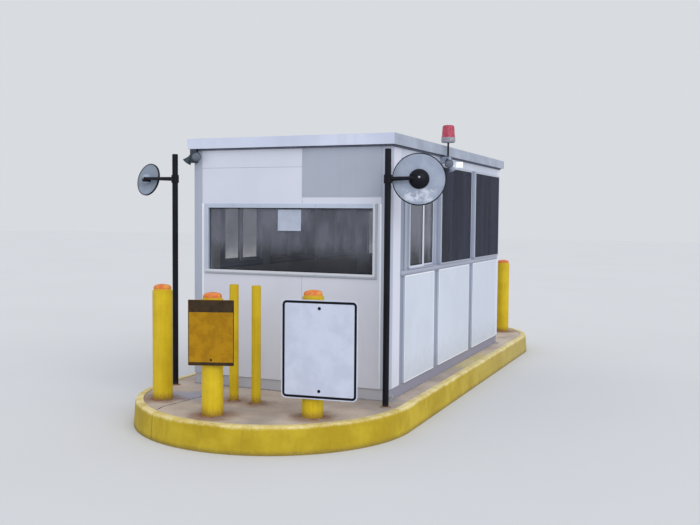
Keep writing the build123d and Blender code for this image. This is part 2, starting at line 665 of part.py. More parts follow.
def rim(radius):
    """The rubber edge round a mirror, as a ring of rounded section."""
    ring = Cylinder(radius + RIM_WIDTH / 2, RIM_DEPTH) - Cylinder(radius, RIM_DEPTH)
    ring = Pos(0, 0, -MIRROR_EDGE / 2) * ring
    return chamfer(ring.edges().filter_by(GeomType.CIRCLE).group_by(SortBy.RADIUS)[-1], RIM_CHAMFER)


def round_post(radius, height):
    """A round post with a small chamfer at its top."""
    post = Pos(0, 0, height / 2) * Cylinder(radius, height)
    return chamfer(post.edges().filter_by(GeomType.CIRCLE).group_by(Axis.Z)[-1], POST_CHAMFER)


def make_mirror(post, place, radius, hub_radius):
    """The pieces of one mirror: post, arm with collar and hub, dish and rim."""
    tube = Pos(*post, 0) * round_post(MIRROR_POST_RADIUS, MIRROR_POST_HEIGHT)
    hub = place * domed(((hub_radius, 0), (hub_radius, HUB_EDGE)), HUB_DEPTH - HUB_EDGE)
    tip = (place * Pos(0, 0, ARM_LIFT)).position
    root = Vector(post[0], post[1], tip.Z - ARM_RISE)
    reach = (tip - root).length
    along = Plane(origin=root, z_dir=tip - root)
    arm = along.location * Pos(0, 0, reach / 2) * Cone(ARM_RADIUS, ARM_TIP_RADIUS, reach)
    collar = Pos(post[0], post[1], root.Z) * Cylinder(MIRROR_POST_RADIUS + COLLAR_WALL, COLLAR_HEIGHT)
    passage = Pos(post[0], post[1], root.Z) * Cylinder(MIRROR_POST_RADIUS, COLLAR_HEIGHT * 2)
    return tube, arm + collar + hub - passage, place * dish(radius), place * rim(radius)


def make_mirrors():
    right_place = mirror_place(RIGHT_MIRROR_CENTRE, RIGHT_MIRROR_HEIGHT, RIGHT_MIRROR_ANGLE)
    left_place = mirror_place(LEFT_MIRROR_CENTRE, LEFT_MIRROR_HEIGHT, LEFT_MIRROR_ANGLE)
    right = make_mirror(RIGHT_POST, right_place, RIGHT_MIRROR_RADIUS, RIGHT_HUB_RADIUS)
    left = make_mirror(LEFT_POST, left_place, LEFT_MIRROR_RADIUS, LEFT_HUB_RADIUS)
    names = ("mirror_posts", "mirror_arms", "traffic_mirrors", "mirror_rims")
    for name, right_piece, left_piece in zip(names, right, left):
        parts[name] = CORNER * Compound([right_piece, left_piece])


def by_the_kerb(nose_y, gap, angle):
    """The foot of a bollard that stands inside a nose's kerb, on the slab."""
    reach = SLAB_RADIUS - gap - BOLLARD_RADIUS
    return Pos(reach * cos(radians(angle)), nose_y + reach * sin(radians(angle)), SLAB_TOP)


def bollard_crown():
    """The concrete that fills a pipe, proud of its top: a straight edge, a round shoulder, a low dome."""
    crown = domed(((CROWN_RADIUS, 0), (CROWN_RADIUS, CROWN_EDGE)), CROWN_HEIGHT - CROWN_EDGE)
    shoulder = crown.edges().filter_by(Plane.XY).group_by(Axis.Z)[-1]
    return fillet(shoulder, CROWN_ROUND)


def make_bollards():
    """Filled pipes of slightly different heights with their crowns, and two narrow posts."""
    feet = (
        by_the_kerb(-NOSE_Y, LEFT_BOLLARD_GAP, LEFT_BOLLARD_ANGLE),
        by_the_kerb(-NOSE_Y, CAUTION_BOLLARD_GAP, CAUTION_BOLLARD_ANGLE),
        by_the_kerb(-NOSE_Y, SPEED_BOLLARD_GAP, SPEED_BOLLARD_ANGLE),
        by_the_kerb(NOSE_Y, REAR_BOLLARD_GAP, REAR_BOLLARD_ANGLE),
    )
    heights = (LEFT_BOLLARD_HEIGHT, CAUTION_BOLLARD_HEIGHT, SPEED_BOLLARD_HEIGHT, REAR_BOLLARD_HEIGHT)
    pipes = [
        foot * Pos(0, 0, height / 2) * Cylinder(BOLLARD_RADIUS, height)
        for foot, height in zip(feet, heights)
    ]
    crown = bollard_crown()
    parts["bollards"] = Compound(pipes)
    parts["bollard_crowns"] = Compound(
        [foot * Pos(0, 0, height) * crown for foot, height in zip(feet, heights)]
    )
    narrow = round_post(NARROW_RADIUS, NARROW_HEIGHT)
    parts["narrow_posts"] = CORNER * Compound([Pos(*place, 0) * narrow for place in NARROW_POSTS])


def sign(foot, turn, shift, width, height, low, corner_round):
    """A sign plate beside the pipe's middle, and the bar from the pipe to the plate's middle."""
    place = foot * Pos(0, 0, low + height / 2) * Rot(0, 0, turn)
    face = BOLLARD_RADIUS + SIGN_STANDOFF
    outline = Plane.XZ * RectangleRounded(width, height, corner_round)
    plate = Pos(shift, -face, 0) * extrude(outline, SIGN_THICK)
    bar_height = height - 2 * SIGN_BAR_MARGIN
    bar = block(
        (-SIGN_BAR_WIDTH / 2, shift + SIGN_BAR_WIDTH / 2),
        (-face, SIGN_BAR_WRAP - BOLLARD_RADIUS),
        (-bar_height / 2, bar_height / 2),
    )
    bar -= Cylinder(BOLLARD_RADIUS, height)
    return place * plate, place * bar


def make_signs():
    speed, speed_bar = sign(
        by_the_kerb(-NOSE_Y, SPEED_BOLLARD_GAP, SPEED_BOLLARD_ANGLE),
        SPEED_SIGN_ANGLE,
        SPEED_SIGN_SHIFT,
        SPEED_SIGN_WIDTH,
        SPEED_SIGN_HEIGHT,
        SPEED_SIGN_LOW,
        SPEED_SIGN_ROUND,
    )
    caution, caution_bar = sign(
        by_the_kerb(-NOSE_Y, CAUTION_BOLLARD_GAP, CAUTION_BOLLARD_ANGLE),
        CAUTION_SIGN_ANGLE,
        CAUTION_SIGN_SHIFT,
        CAUTION_SIGN_WIDTH,
        CAUTION_SIGN_HEIGHT,
        CAUTION_SIGN_LOW,
        CAUTION_SIGN_ROUND,
    )
    parts["speed_sign"] = speed
    parts["caution_sign"] = caution
    parts["sign_brackets"] = Compound([speed_bar, caution_bar])


make_island()
make_base()
make_corners()
make_front()
make_sides()
make_rear()
make_roof()
make_beacon()
make_lamps()
make_mirrors()
make_bollards()
make_signs()

os.makedirs("parts", exist_ok=True)
for name, shape in parts.items():
    export_step(shape, f"parts/{name}.step")
print(len(parts), "nodes")
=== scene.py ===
# %% [markdown]
# # A guard booth on its kerbed island
# The booth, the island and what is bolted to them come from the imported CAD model, in metres.
# This lesson gives each of them its finish, and adds what a maker adds last: gaskets, screens,
# seams, screws, sealant, lamp glasses, borders and the mirrors' faces.

import math

import bpy
import numpy as np
from mathutils import Matrix, Vector


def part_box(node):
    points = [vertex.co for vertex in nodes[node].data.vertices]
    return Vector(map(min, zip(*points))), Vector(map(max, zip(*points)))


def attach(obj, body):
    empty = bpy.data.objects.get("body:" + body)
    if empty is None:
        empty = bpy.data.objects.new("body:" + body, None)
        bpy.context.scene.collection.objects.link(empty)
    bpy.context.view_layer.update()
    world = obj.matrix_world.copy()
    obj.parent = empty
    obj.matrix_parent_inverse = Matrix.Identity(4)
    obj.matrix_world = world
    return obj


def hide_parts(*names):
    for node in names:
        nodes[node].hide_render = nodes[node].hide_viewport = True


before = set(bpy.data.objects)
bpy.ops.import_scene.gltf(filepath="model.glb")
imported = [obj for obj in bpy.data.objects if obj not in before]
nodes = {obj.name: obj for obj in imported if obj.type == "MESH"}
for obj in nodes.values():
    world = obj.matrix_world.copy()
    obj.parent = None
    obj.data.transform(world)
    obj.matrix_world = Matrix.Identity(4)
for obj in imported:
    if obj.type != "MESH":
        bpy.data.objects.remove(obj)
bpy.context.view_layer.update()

# %% [markdown]
# ## Places that the whole lesson uses
# Every place below is read from the CAD nodes, so the additions follow the model. A node may
# hold several solids, such as the four bollards, and its mesh is a heap of loose triangles. To
# get the box of each solid, the triangles that share a corner are given one common number, and
# the lowest number spreads through each solid until nothing changes.

# %% Find the solids of a node


def solids_of(name):
    """The corner points of each separate solid of a node, as one array for each."""
    mesh = nodes[name].data
    points = np.zeros(len(mesh.vertices) * 3)
    mesh.vertices.foreach_get("co", points)
    corners = np.zeros(len(mesh.loops), int)
    mesh.loops.foreach_get("vertex_index", corners)
    places, same = np.unique(np.round(points.reshape(-1, 3), 5), axis=0, return_inverse=True)
    triangles = same.reshape(-1)[corners].reshape(-1, 3)
    label = np.arange(len(places))
    changed = True
    while changed:
        lowest = label.copy()
        for corner in range(3):
            np.minimum.at(lowest, triangles[:, corner], label[triangles].min(axis=1))
        lowest = lowest[lowest]
        changed = bool((lowest != label).any())
        label = lowest
    return [places[label == one] for one in np.unique(label)]


def boxes_of(name):
    """The lowest and highest corner of each solid of a node."""
    return [(points.min(axis=0), points.max(axis=0)) for points in solids_of(name)]


print("bollards:", len(boxes_of("bollards")), "solids")

# %% Measure the booth
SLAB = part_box("island_slab")[1].z
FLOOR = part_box("front_wall")[0].z
LEFT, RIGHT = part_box("front_corners")[0].x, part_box("front_corners")[1].x
FRONT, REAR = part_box("front_corners")[0].y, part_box("rear_corners")[1].y
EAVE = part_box("roof_fascia")[0].z
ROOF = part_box("roof_fascia")[1].z
MIDDLE_X = (LEFT + RIGHT) / 2
MIDDLE_Y = (FRONT + REAR) / 2
print("booth", round(RIGHT - LEFT, 3), "by", round(REAR - FRONT, 3), "m, eave at", round(EAVE, 3))

# %% [markdown]
# ## Shader maths as plain sums
# A material is a network of nodes, and a network is hard to read as a list of links. So one
# small class holds a socket: a sum written with it adds the Math node that does the sum, and
# `node` adds any other node, with its settings first because they can change its sockets.

# %% The class that holds a socket


class Flow:
    """A value, colour or vector on its way through the nodes of one material."""

    def __init__(self, tree, socket=None):
        self.tree = tree
        self.socket = socket

    def node(self, kind, settings=None, sockets=None, output=0):
        """Add a node: its settings, then its sockets, each a number, a colour or a Flow."""
        made = self.tree.nodes.new(kind)
        for name, value in (settings or {}).items():
            setattr(made, name, value)
        for name, value in (sockets or {}).items():
            if isinstance(value, Flow):
                self.tree.links.new(value.socket, made.inputs[name])
            else:
                made.inputs[name].default_value = value
        return Flow(self.tree, made.outputs[output] if made.outputs else None)

    def math(self, operation, *terms):
        return self.node("ShaderNodeMath", {"operation": operation}, dict(enumerate(terms)))

    def __add__(self, other):
        return self.math("ADD", self, other)

    __radd__ = __add__

    def __sub__(self, other):
        return self.math("SUBTRACT", self, other)

    def __rsub__(self, other):
        return self.math("SUBTRACT", other, self)

    def __mul__(self, other):
        return self.math("MULTIPLY", self, other)

    __rmul__ = __mul__

    def __abs__(self):
        return self.math("ABSOLUTE", self)

    def below(self, limit):
        """1 where the value is under the limit, 0 elsewhere."""
        return self.math("LESS_THAN", self, limit)

    def above(self, limit):
        """1 where the value is over the limit, 0 elsewhere."""
        return self.math("GREATER_THAN", self, limit)


print("operators: + - * abs, below, above, and node() for the rest")

# %% [markdown]
# ## Colours as they look on a screen
# Paint is chosen in screen values from 0 to 255, and Blender works in linear light. One
# function turns the first into the second, so that a finish can be written as it looks.

# %% From screen colour to linear light


def paint(red, green, blue):
    """A screen colour, 0 to 255, as the linear colour with alpha that a shader wants."""
    values = np.array([red, green, blue]) / 255
    linear = np.where(values <= 0.04045, values / 12.92, ((values + 0.055) / 1.055) ** 2.4)
    return (*linear.tolist(), 1.0)


print("mid grey 128 is", round(paint(128, 128, 128)[0], 3), "in linear light")

# %% [markdown]
# ## What every finish is built from
# Real paint and concrete differ from place to place in a few known ways: cloudy patches, fine
# grain, streaks that run down a wall, and dirt near the ground. Each is one function here that
# gives a mask from 0 to 1, and a finish mixes its colours by such masks. All of them read
# Object coordinates, which are metres in the frame, so a pattern keeps its size on every piece.

# %% Masks


def axis_of(place, axis):
    """One coordinate of the point: 0 for x, 1 for y, 2 for z."""
    return place.node("ShaderNodeSeparateXYZ", None, {0: place}, axis)


def fade(value, start, end):
    """0 before start and 1 past end, with a soft step between; it also runs downwards."""
    return value.node(
        "ShaderNodeMapRange",
        {"interpolation_type": "SMOOTHSTEP"},
        {"Value": value, "From Min": start, "From Max": end},
    )


def clouds(place, size, detail=3.0, roughness=0.5):
    """Cloudy noise about 0.5, whose patches measure about the size, in metres."""
    return place.node(
        "ShaderNodeTexNoise",
        None,
        {"Vector": place, "Scale": 1 / size, "Detail": detail, "Roughness": roughness},
    )


def stretched(place, x, y, z):
    """The place scaled along each axis, so that a pattern is drawn out where the scale is low."""
    return place.node("ShaderNodeMapping", None, {"Vector": place, "Scale": (x, y, z)})


def streaks(place, width, length):
    """Marks that run down: noise drawn out along z."""
    return clouds(stretched(place, 1, 1, width / length), width, 4.0, 0.6)


def mixed(mask, first, second):
    """The first colour where the mask is 0, the second where it is 1, as Flow or screen colour."""
    first, second = (tone if isinstance(tone, Flow) else paint(*tone) for tone in (first, second))
    return mask.node("ShaderNodeMix", {"data_type": "RGBA"}, {0: mask, 6: first, 7: second}, 2)


def both(first, second):
    """The larger of two masks."""
    return first.math("MAXIMUM", first, second)


def any_of(masks):
    """The largest of several masks."""
    largest, *others = masks
    for mask in others:
        largest = both(largest, mask)
    return largest


def distance_to(place, point):
    """How far the surface is from an upright line through a point, in metres."""
    flat = place.node("ShaderNodeVectorMath", {"operation": "MULTIPLY"}, {0: place, 1: (1, 1, 0)})
    foot = (float(point[0]), float(point[1]), 0.0)
    return place.node("ShaderNodeVectorMath", {"operation": "DISTANCE"}, {0: flat, 1: foot}, 1)


print("masks: fade, clouds, streaks, distance_to")

# %% [markdown]
# ## One way to finish a material
# Each finish ends in Blender's Principled shader. Colour, roughness, height and the glass's Alpha
# may change over the surface and come in as sockets or numbers; everything else is a plain value
# set on the shader itself, so that the export keeps it.

# %% Make a material


def start_material(name):
    """An empty material, and the point of its surface in metres as a Flow."""
    material = bpy.data.materials.new(name)
    material.use_nodes = True
    material.node_tree.nodes.clear()
    place = Flow(material.node_tree).node("ShaderNodeTexCoord", output="Object")
    return material, place


def end_material(material, base, roughness, height=None, depth=0.001, **others):
    """Join the colour, the roughness and the height to a Principled shader, and end it."""
    flow = Flow(material.node_tree)
    sockets = {"Base Color": base, "Roughness": roughness}
    if height is not None:
        sockets["Normal"] = flow.node("ShaderNodeBump", None, {"Distance": depth, "Height": height})
    sockets.update({name.replace("_", " "): value for name, value in others.items()})
    shader = flow.node("ShaderNodeBsdfPrincipled", None, sockets)
    flow.node("ShaderNodeOutputMaterial", None, {"Surface": shader})
    return material


def dress(material, *names):
    """Give CAD nodes their finish."""
    for name in names:
        nodes[name].data.materials.clear()
        nodes[name].data.materials.append(material)
    print(material.name, "on", ", ".join(names))


finishes = {}


def dress_all(recipe, rows):
    """Make the finish of each row: its name, three tones, other values, and the nodes it is on."""
    for name, light, dark, spots, others, dressed in rows:
        finishes[name] = recipe(name, light, dark, spots, **others)
        if dressed:
            dress(finishes[name], *dressed)


# %% [markdown]
# ## Old concrete
# The slab is brownish grey concrete with sand grain, darker damp patches and a sweep of rust
# round the foot of each yellow post. The rust isn't painted by hand: the distance to a post's
# foot, bent by noise, gives a ring-shaped mask that fades outwards. A shrinkage crack runs from
# the open kerb joint towards the booth, along a straight line that noise bends.

# %% Where the posts stand


def feet_of(name):
    """The middle of each solid of a node and its radius, seen from above, in metres."""
    return [((low[:2] + high[:2]) / 2, (high[0] - low[0]) / 2) for low, high in boxes_of(name)]


posts = feet_of("bollards") + feet_of("narrow_posts")
print(len(posts), "yellow posts on the slab")

# %% The slab
CRACK_START = (-0.613, -3.32)
CRACK_END = (-0.54, -2.50)
PATCH = (-0.67, -2.72)
OVERSPRAY = (1.09, 0.20)


def rust_rings(place, feet, reach):
    """Rust that starts at each foot and fades out over the reach, with a ragged edge."""
    ragged = clouds(place, 0.12, 5.0, 0.65) * reach * 1.6
    return any_of(
        fade(distance_to(place, point) - ragged, radius + reach * 0.35, radius - reach * 0.75)
        for point, radius in feet
    )


def crack_mask(place, start, end, width):
    """1 on a line from start to end: the distance from the line is a dot product with its normal."""
    along = Vector((end[0] - start[0], end[1] - start[1], 0)).normalized()
    across = Vector((-along.y, along.x, 0))
    shift = across.x * start[0] + across.y * start[1]
    dot = place.node("ShaderNodeVectorMath", {"operation": "DOT_PRODUCT"}, {0: place, 1: across}, 1)
    bend = (clouds(place, 0.14, 5.0, 0.7) - 0.5) * 0.09
    line = fade(abs(dot - shift + bend), width, width * 0.3)
    middle = ((start[0] + end[0]) / 2, (start[1] + end[1]) / 2)
    reach = math.dist(start, end) / 2
    return line * fade(distance_to(place, middle), reach * 1.05, reach * 0.9)


def make_concrete():
    material, place = start_material("weathered_concrete")
    broad = clouds(place, 0.55, 5.0, 0.6)
    grain = clouds(place, 0.012, 4.0, 0.7)
    colour = mixed(fade(broad, 0.36, 0.64), (170, 154, 143), (194, 180, 168))
    colour = mixed(fade(grain, 0.35, 0.75) * 0.35, colour, (124, 114, 106))
    damp = fade(clouds(place, 0.9, 4.0, 0.55), 0.56, 0.68)
    colour = mixed(damp * 0.45, colour, (128, 120, 118))
    patch = fade(distance_to(place, PATCH) + (broad - 0.5) * 0.5, 0.26, 0.12)
    colour = mixed(patch * 0.8, colour, (140, 144, 164))
    spray = fade(distance_to(place, OVERSPRAY) + (broad - 0.5) * 1.2, 0.95, 0.25)
    spray = spray * fade(clouds(place, 0.05, 6.0, 0.7), 0.38, 0.56)
    colour = mixed(spray * 0.85, colour, (196, 182, 112))
    rust = rust_rings(place, posts, 0.15)
    colour = mixed(rust * 0.7, colour, (118, 84, 62))
    crack = crack_mask(place, CRACK_START, CRACK_END, 0.008)
    colour = mixed(crack * 0.85, colour, (66, 60, 56))
    height = grain * 0.4 + clouds(place, 0.05, 6.0, 0.6) * 0.6 - crack * 1.5
    return end_material(material, colour, 0.92 - damp * 0.15, height, 0.003)


dress(make_concrete(), "island_slab")

# %% [markdown]
# ## Yellow kerb paint
# The kerb was painted over more than once. Years of use have rubbed its top edge to pale
# chalky paint and bare concrete, and the pale top edge also stands in for the light on it, as a
# painted highlight. Rain has carried dirt down its face, and its foot is dark with grit. Height
# alone tells the shader which of these it is at. Towards the rear the whole kerb has faded.

# %% The kerb


def make_kerb_paint():
    material, place = start_material("kerb_yellow_paint")
    z = axis_of(place, 2)
    broad = clouds(place, 0.35, 5.0, 0.6)
    fine = clouds(place, 0.02, 5.0, 0.7)
    colour = mixed(fade(broad, 0.34, 0.66), (170, 145, 26), (192, 168, 42))
    faded = fade(axis_of(place, 1) + (broad - 0.5) * 2.5, -1.8, 2.4)
    colour = mixed(faded * 0.6, colour, (172, 158, 108))
    dirt = fade(streaks(place, 0.06, 0.3), 0.5, 0.74)
    colour = mixed(dirt * 0.22, colour, (132, 114, 44))
    # Pale top edge: partly worn paint, partly a painted highlight where the light falls on the top.
    edge = fade(z + (broad - 0.5) * 0.05 + (fine - 0.5) * 0.03, SLAB - 0.022, SLAB + 0.004)
    worn = fade(clouds(place, 0.16, 5.0, 0.65), 0.36, 0.62)
    colour = mixed(edge * (worn * 0.45 + 0.3), colour, (230, 217, 168))
    bare = fade(fine, 0.53, 0.66) * edge
    colour = mixed(bare * 0.6, colour, (212, 196, 176))
    foot = fade(z + (fine - 0.5) * 0.05, 0.045, 0.0)
    colour = mixed(foot * 0.6, colour, (98, 86, 62))
    chips = fade(clouds(place, 0.045, 6.0, 0.7), 0.67, 0.71)
    colour = mixed(chips * 0.6, colour, (138, 126, 104))
    height = broad * 0.6 + fine * 0.5 - chips * 0.4
    return end_material(material, colour, dirt * 0.2 + 0.6, height, 0.003, Specular_IOR_Level=0.2)


dress(make_kerb_paint(), "kerb_noses", "kerb_sides")

# %% [markdown]
# ## Enamelled sheet
# The walls, the corner columns and the roof edge are sheet metal with a satin enamel. It is
# nearly even, but the sheets are never quite flat, so a broad shallow bump breaks up their
# reflections, and rain leaves faint streaks and a splash of dirt above the slab. The same
# recipe with other colours makes each of the painted metals. Some pieces change their tone with
# the place: faces that look into the room have a lining, and painted shade darkens the fascia's
# and the base channel's sides, the side sills' lower edge and the side frames' bottom rails,
# while the front window frame has a painted highlight and painted shade on its outer edges.
# Such a change is a function that the recipe calls.

# %% Tones that depend on the place
LINER = (205, 208, 214)
SILL_TOP = 1.0965
SILL_EDGE = 0.028
BOTTOM_RAIL = 0.021
JAMB_END = 0.434
FRONT_CORNER_BAND = 0.058
FRAME_HIGHLIGHT_WIDTH = 0.038
FRAME_SHADE_WIDTH = 0.018
SOFT_STEP = 0.001


def lined(place, colour, margin=0.03):
    """The lining's tone on faces that look into the room, well within the walls' outer planes."""
    across = abs(axis_of(place, 0) - MIDDLE_X).below((RIGHT - LEFT) / 2 - margin)
    along = abs(axis_of(place, 1) - MIDDLE_Y).below((REAR - FRONT) / 2 - margin)
    return mixed(across * along, colour, LINER)


def outer_sides(place, box):
    """1 on a node's outermost faces to the left and the right."""
    return abs(axis_of(place, 0) - MIDDLE_X).above(box[1].x - MIDDLE_X - 0.002)


def shaded_fascia_sides(place, colour):
    """Painted shade: a darker grey where the fascia faces sideways, beyond the walls' planes."""
    fascia_side_mottle = fade(clouds(place, 0.3, 4.0, 0.6), 0.3, 0.7)
    grey = mixed(fascia_side_mottle, (140, 150, 168), (162, 171, 189))
    # Painted shade on the fascia's sides.
    return mixed(outer_sides(place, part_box("roof_fascia")), colour, grey)


def grey_sill_and_painted_shade(place, colour):
    """A grey sill rail below the windows, with painted shade in a darker band along its lower edge."""
    z = axis_of(place, 2)
    colour = mixed(z.below(SLAB + SILL_TOP), colour, (156, 163, 181))
    # Painted shade: a darker band along the sill's lower edge, where the sill shades the panel below.
    edge = SLAB + SILL_TOP - SILL_EDGE
    return mixed(fade(z, edge + 0.004, edge - 0.004), colour, (132, 137, 158))


def shaded_frame(place, colour):
    """The side windows' frames: painted shade along the bottom rail, and beside the slider a grey jamb
    that is partly the post's grey and partly painted shade.
    """
    # Painted shade on the bottom rail; the grey jamb is partly the post's grey, partly painted shade.
    bottom = axis_of(place, 2).below(SLAB + SILL_TOP + BOTTOM_RAIL)
    colour = mixed(bottom, colour, (148, 155, 174))
    return mixed(axis_of(place, 1).below(FRONT + JAMB_END), colour, (152, 161, 175))


def corner_tones(place, colour):
    """The lining's tone indoors, and a duller grey band round the two front corners."""
    front_corner_band = axis_of(place, 1).below(FRONT + FRONT_CORNER_BAND)
    return mixed(front_corner_band, lined(place, colour), (168, 176, 194))


def frame_edge(place, width):
    """1 within the width of the front window frame's right and lower edges."""
    low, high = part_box("front_window_frame")
    side, foot = high.x - width, low.z + width
    right = fade(axis_of(place, 0), side - SOFT_STEP, side + SOFT_STEP)
    return both(right, fade(axis_of(place, 2), foot + SOFT_STEP, foot - SOFT_STEP))


def frame_highlight_and_shade(place, colour):
    """The front window's frame: a painted highlight along its right and lower edges, and painted shade on
    their outermost strip.
    """
    front = axis_of(place, 1).below(MIDDLE_Y)
    # Painted highlight, then painted shade, on the frame's outer edges.
    colour = mixed(front * frame_edge(place, FRAME_HIGHLIGHT_WIDTH), colour, (204, 208, 218))
    return mixed(front * frame_edge(place, FRAME_SHADE_WIDTH), colour, (160, 169, 182))


def shaded_base_sides(place, colour):
    """Painted shade on the base channel along the sides."""
    # Painted shade: the sides darker than the front.
    return mixed(outer_sides(place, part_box("base_frame")), colour, (140, 140, 162))


# %% A recipe for painted sheet


def make_sheet(name, light, dark, grime, roughness=0.4, streak=0.06, splash=0.22, change=None):
    """Satin enamel: two close tones in broad clouds, grime in streaks and near the slab."""
    material, place = start_material(name)
    broad = clouds(place, 0.7, 3.0, 0.5)
    fine = clouds(place, 0.004, 3.0, 0.6)
    colour = mixed(fade(broad, 0.35, 0.65), dark, light)
    if change is not None:
        colour = change(place, colour)
    runs = fade(streaks(place, 0.10, 1.4), 0.5, 0.78)
    ragged = (clouds(place, 0.08, 4.0, 0.6) - 0.5) * 0.4
    low = fade(axis_of(place, 2) + ragged, SLAB + 0.42, SLAB + 0.06)
    dirt = both(runs * streak, low * splash)
    colour = mixed(dirt, colour, grime)
    rough = dirt * 0.3 + (fine * 0.06 + roughness)
    return end_material(material, colour, rough, broad + fine * 0.04, 0.002, Coat_Weight=0.06)


# %% Paint the sheets
SHEETS = [
    ("white_enamel", (209, 213, 228), (203, 207, 222), (158, 160, 172),
     {"streak": 0.03, "splash": 0.03, "change": lined}, ["front_wall", "rear_wall", "door_leaf"]),
    ("corner_enamel", (216, 218, 233), (209, 212, 227), (152, 151, 155),
     {"splash": 0.12, "change": corner_tones}, ["front_corners", "rear_corners"]),
    ("side_panel_enamel", (204, 212, 226), (197, 205, 220), (154, 153, 155),
     {"change": lined}, ["side_lower_panels"]),
    ("grey_frame_enamel", (142, 149, 170), (130, 138, 159), (100, 98, 98),
     {"change": lined}, ["side_posts", "door_frame"]),
    ("roof_edge_enamel", (206, 213, 234), (190, 198, 220), (122, 122, 124),
     {"streak": 0.10, "change": shaded_fascia_sides}, ["roof_fascia"]),
    ("weathered_roof_enamel", (176, 182, 198), (160, 166, 183), (122, 122, 124),
     {"roughness": 0.55}, ["roof_panel"]),
    ("grey_board", (165, 172, 188), (154, 161, 178), (126, 128, 130),
     {"roughness": 0.6}, ["gate_board"]),
    ("front_frame_enamel", (184, 195, 214), (172, 183, 203), (132, 130, 130),
     {"roughness": 0.34, "change": frame_highlight_and_shade}, ["front_window_frame", "rear_window_frame"]),
    ("window_frame_enamel", (200, 206, 222), (190, 196, 212), (132, 130, 130),
     {"roughness": 0.34, "change": grey_sill_and_painted_shade}, ["side_rails", "side_sashes"]),
    ("side_frame_enamel", (178, 185, 202), (168, 175, 192), (128, 126, 128),
     {"roughness": 0.34, "change": shaded_frame}, ["side_window_frames"]),
    ("base_channel_paint", (190, 193, 204), (172, 175, 187), (132, 127, 126),
     {"roughness": 0.6, "streak": 0.15, "splash": 0.2, "change": shaded_base_sides}, ["base_frame"]),
    ("floor_sheet", (128, 126, 126), (116, 115, 116), (90, 88, 86),
     {"roughness": 0.7, "streak": 0.0, "splash": 0.0}, ["floor"]),
    # Whiter than the walls: a painted highlight on the panel edges and the strips beside the front
    # columns.
    ("bright_trim_enamel", (238, 242, 250), (230, 234, 244), (150, 148, 146),
     {"roughness": 0.3}, []),
]
dress_all(make_sheet, SHEETS)

# %% [markdown]
# ## Painted pipes
# The bollards and the narrow posts are steel pipe with brushed yellow paint: thin runs down the
# pipe, scrapes across it, and rust that climbs from the foot. The crowns are rough
# concrete painted orange over yellow. The black posts are the same recipe in another colour.

# %% A recipe for painted pipe


def make_pipe_paint(name, light, dark, worn, foot_colour, foot_height=0.08, change=None, shine=0.3):
    """Brush marks along the pipe, scrapes across it, and rust above the slab."""
    material, place = start_material(name)
    brushed = streaks(place, 0.014, 0.6)
    broad = clouds(place, 0.2, 4.0, 0.6)
    fine = clouds(place, 0.008, 4.0, 0.7)
    colour = mixed(fade(brushed * 0.4 + broad * 0.6, 0.36, 0.64), dark, light)
    if change is not None:
        colour = change(place, colour)
    scrapes = fade(clouds(stretched(place, 1, 1, 3), 0.05, 6.0, 0.72), 0.66, 0.72)
    colour = mixed(scrapes * 0.5, colour, worn)
    rust = fade(axis_of(place, 2) + (fine - 0.5) * 0.16, SLAB + foot_height, SLAB)
    colour = mixed(rust * 0.75, colour, foot_colour)
    height = brushed * 0.4 + fine * 0.3 - scrapes * 0.4
    rough = rust * 0.4 + 0.45
    return end_material(material, colour, rough, height, 0.0015, Specular_IOR_Level=shine)


JUNCTION_BOX = 0.064
ARM_BAND = 0.022
BACK_GREY = (148, 158, 178)


def pale_box(place, colour):
    """The box under the warning light is pale grey up to the eave, and its stem is black."""
    box = axis_of(place, 2).below(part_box("beacon_bracket")[0].z + JUNCTION_BOX)
    return mixed(box, colour, (146, 156, 174))


def pale_hub(place, colour):
    """The left mirror's hub is as pale as its back, but for a black band along the arm."""
    low, high = min(boxes_of("traffic_mirrors"), key=lambda box: box[0][0])
    left = axis_of(place, 0).below(float(high[0]))
    off_band = abs(axis_of(place, 2) - float(low[2] + high[2]) / 2).above(ARM_BAND)
    return mixed(left * off_band, colour, BACK_GREY)


YELLOW = ((212, 184, 26), (194, 164, 16), (170, 148, 80), (120, 82, 48))
dress(make_pipe_paint("bollard_yellow", *YELLOW), "bollards", "narrow_posts")

BLACK = ((22, 23, 32), (13, 14, 22), (46, 46, 54), (64, 48, 40), 0.04)
BLACK_PIPES = [
    ("black_post_paint", "mirror_posts", None),
    ("mirror_arm_paint", "mirror_arms", pale_hub),
    ("bracket_paint", "beacon_bracket", pale_box),
]
for name, node, change in BLACK_PIPES:
    dress(make_pipe_paint(name, *BLACK, change=change, shine=0.15), node)

# %% The orange crowns


SKIRT = 0.014
CROWN_REACH = 0.15


def yellow_skirts(place, ragged):
    """1 on the lowest part of each crown, where the pipe's yellow was brushed up over it."""
    z = axis_of(place, 2) + ragged
    skirts = []
    for low, high in boxes_of("bollard_crowns"):
        top = float(low[2]) + SKIRT
        near = fade(distance_to(place, (low + high) / 2), CROWN_REACH + 0.01, CROWN_REACH - 0.01)
        skirts.append(near * fade(z, top + 0.003, top - 0.003))
    return any_of(skirts)


def make_crown_paint():
    material, place = start_material("crown_orange")
    broad = clouds(place, 0.06, 5.0, 0.65)
    fine = clouds(place, 0.006, 4.0, 0.7)
    colour = mixed(fade(broad, 0.40, 0.60), (206, 104, 52), (216, 146, 66))
    skirts = yellow_skirts(place, (broad - 0.5) * 0.03)
    colour = mixed(skirts * 0.85, colour, (204, 174, 24))
    chips = fade(clouds(place, 0.03, 6.0, 0.7), 0.62, 0.68)
    colour = mixed(chips * 0.5, colour, (176, 150, 120))
    return end_material(material, colour, 0.75, broad + fine * 0.6 - chips * 0.5, 0.003)


dress(make_crown_paint(), "bollard_crowns")

# %% [markdown]
# ## Small metals, rubber and plastics
# What is left is small: galvanised brackets, the lamp holders, the mirrors' pressed backs, the
# black rubber edge, the sign plates, steel fittings, and finishes for some of the added pieces.

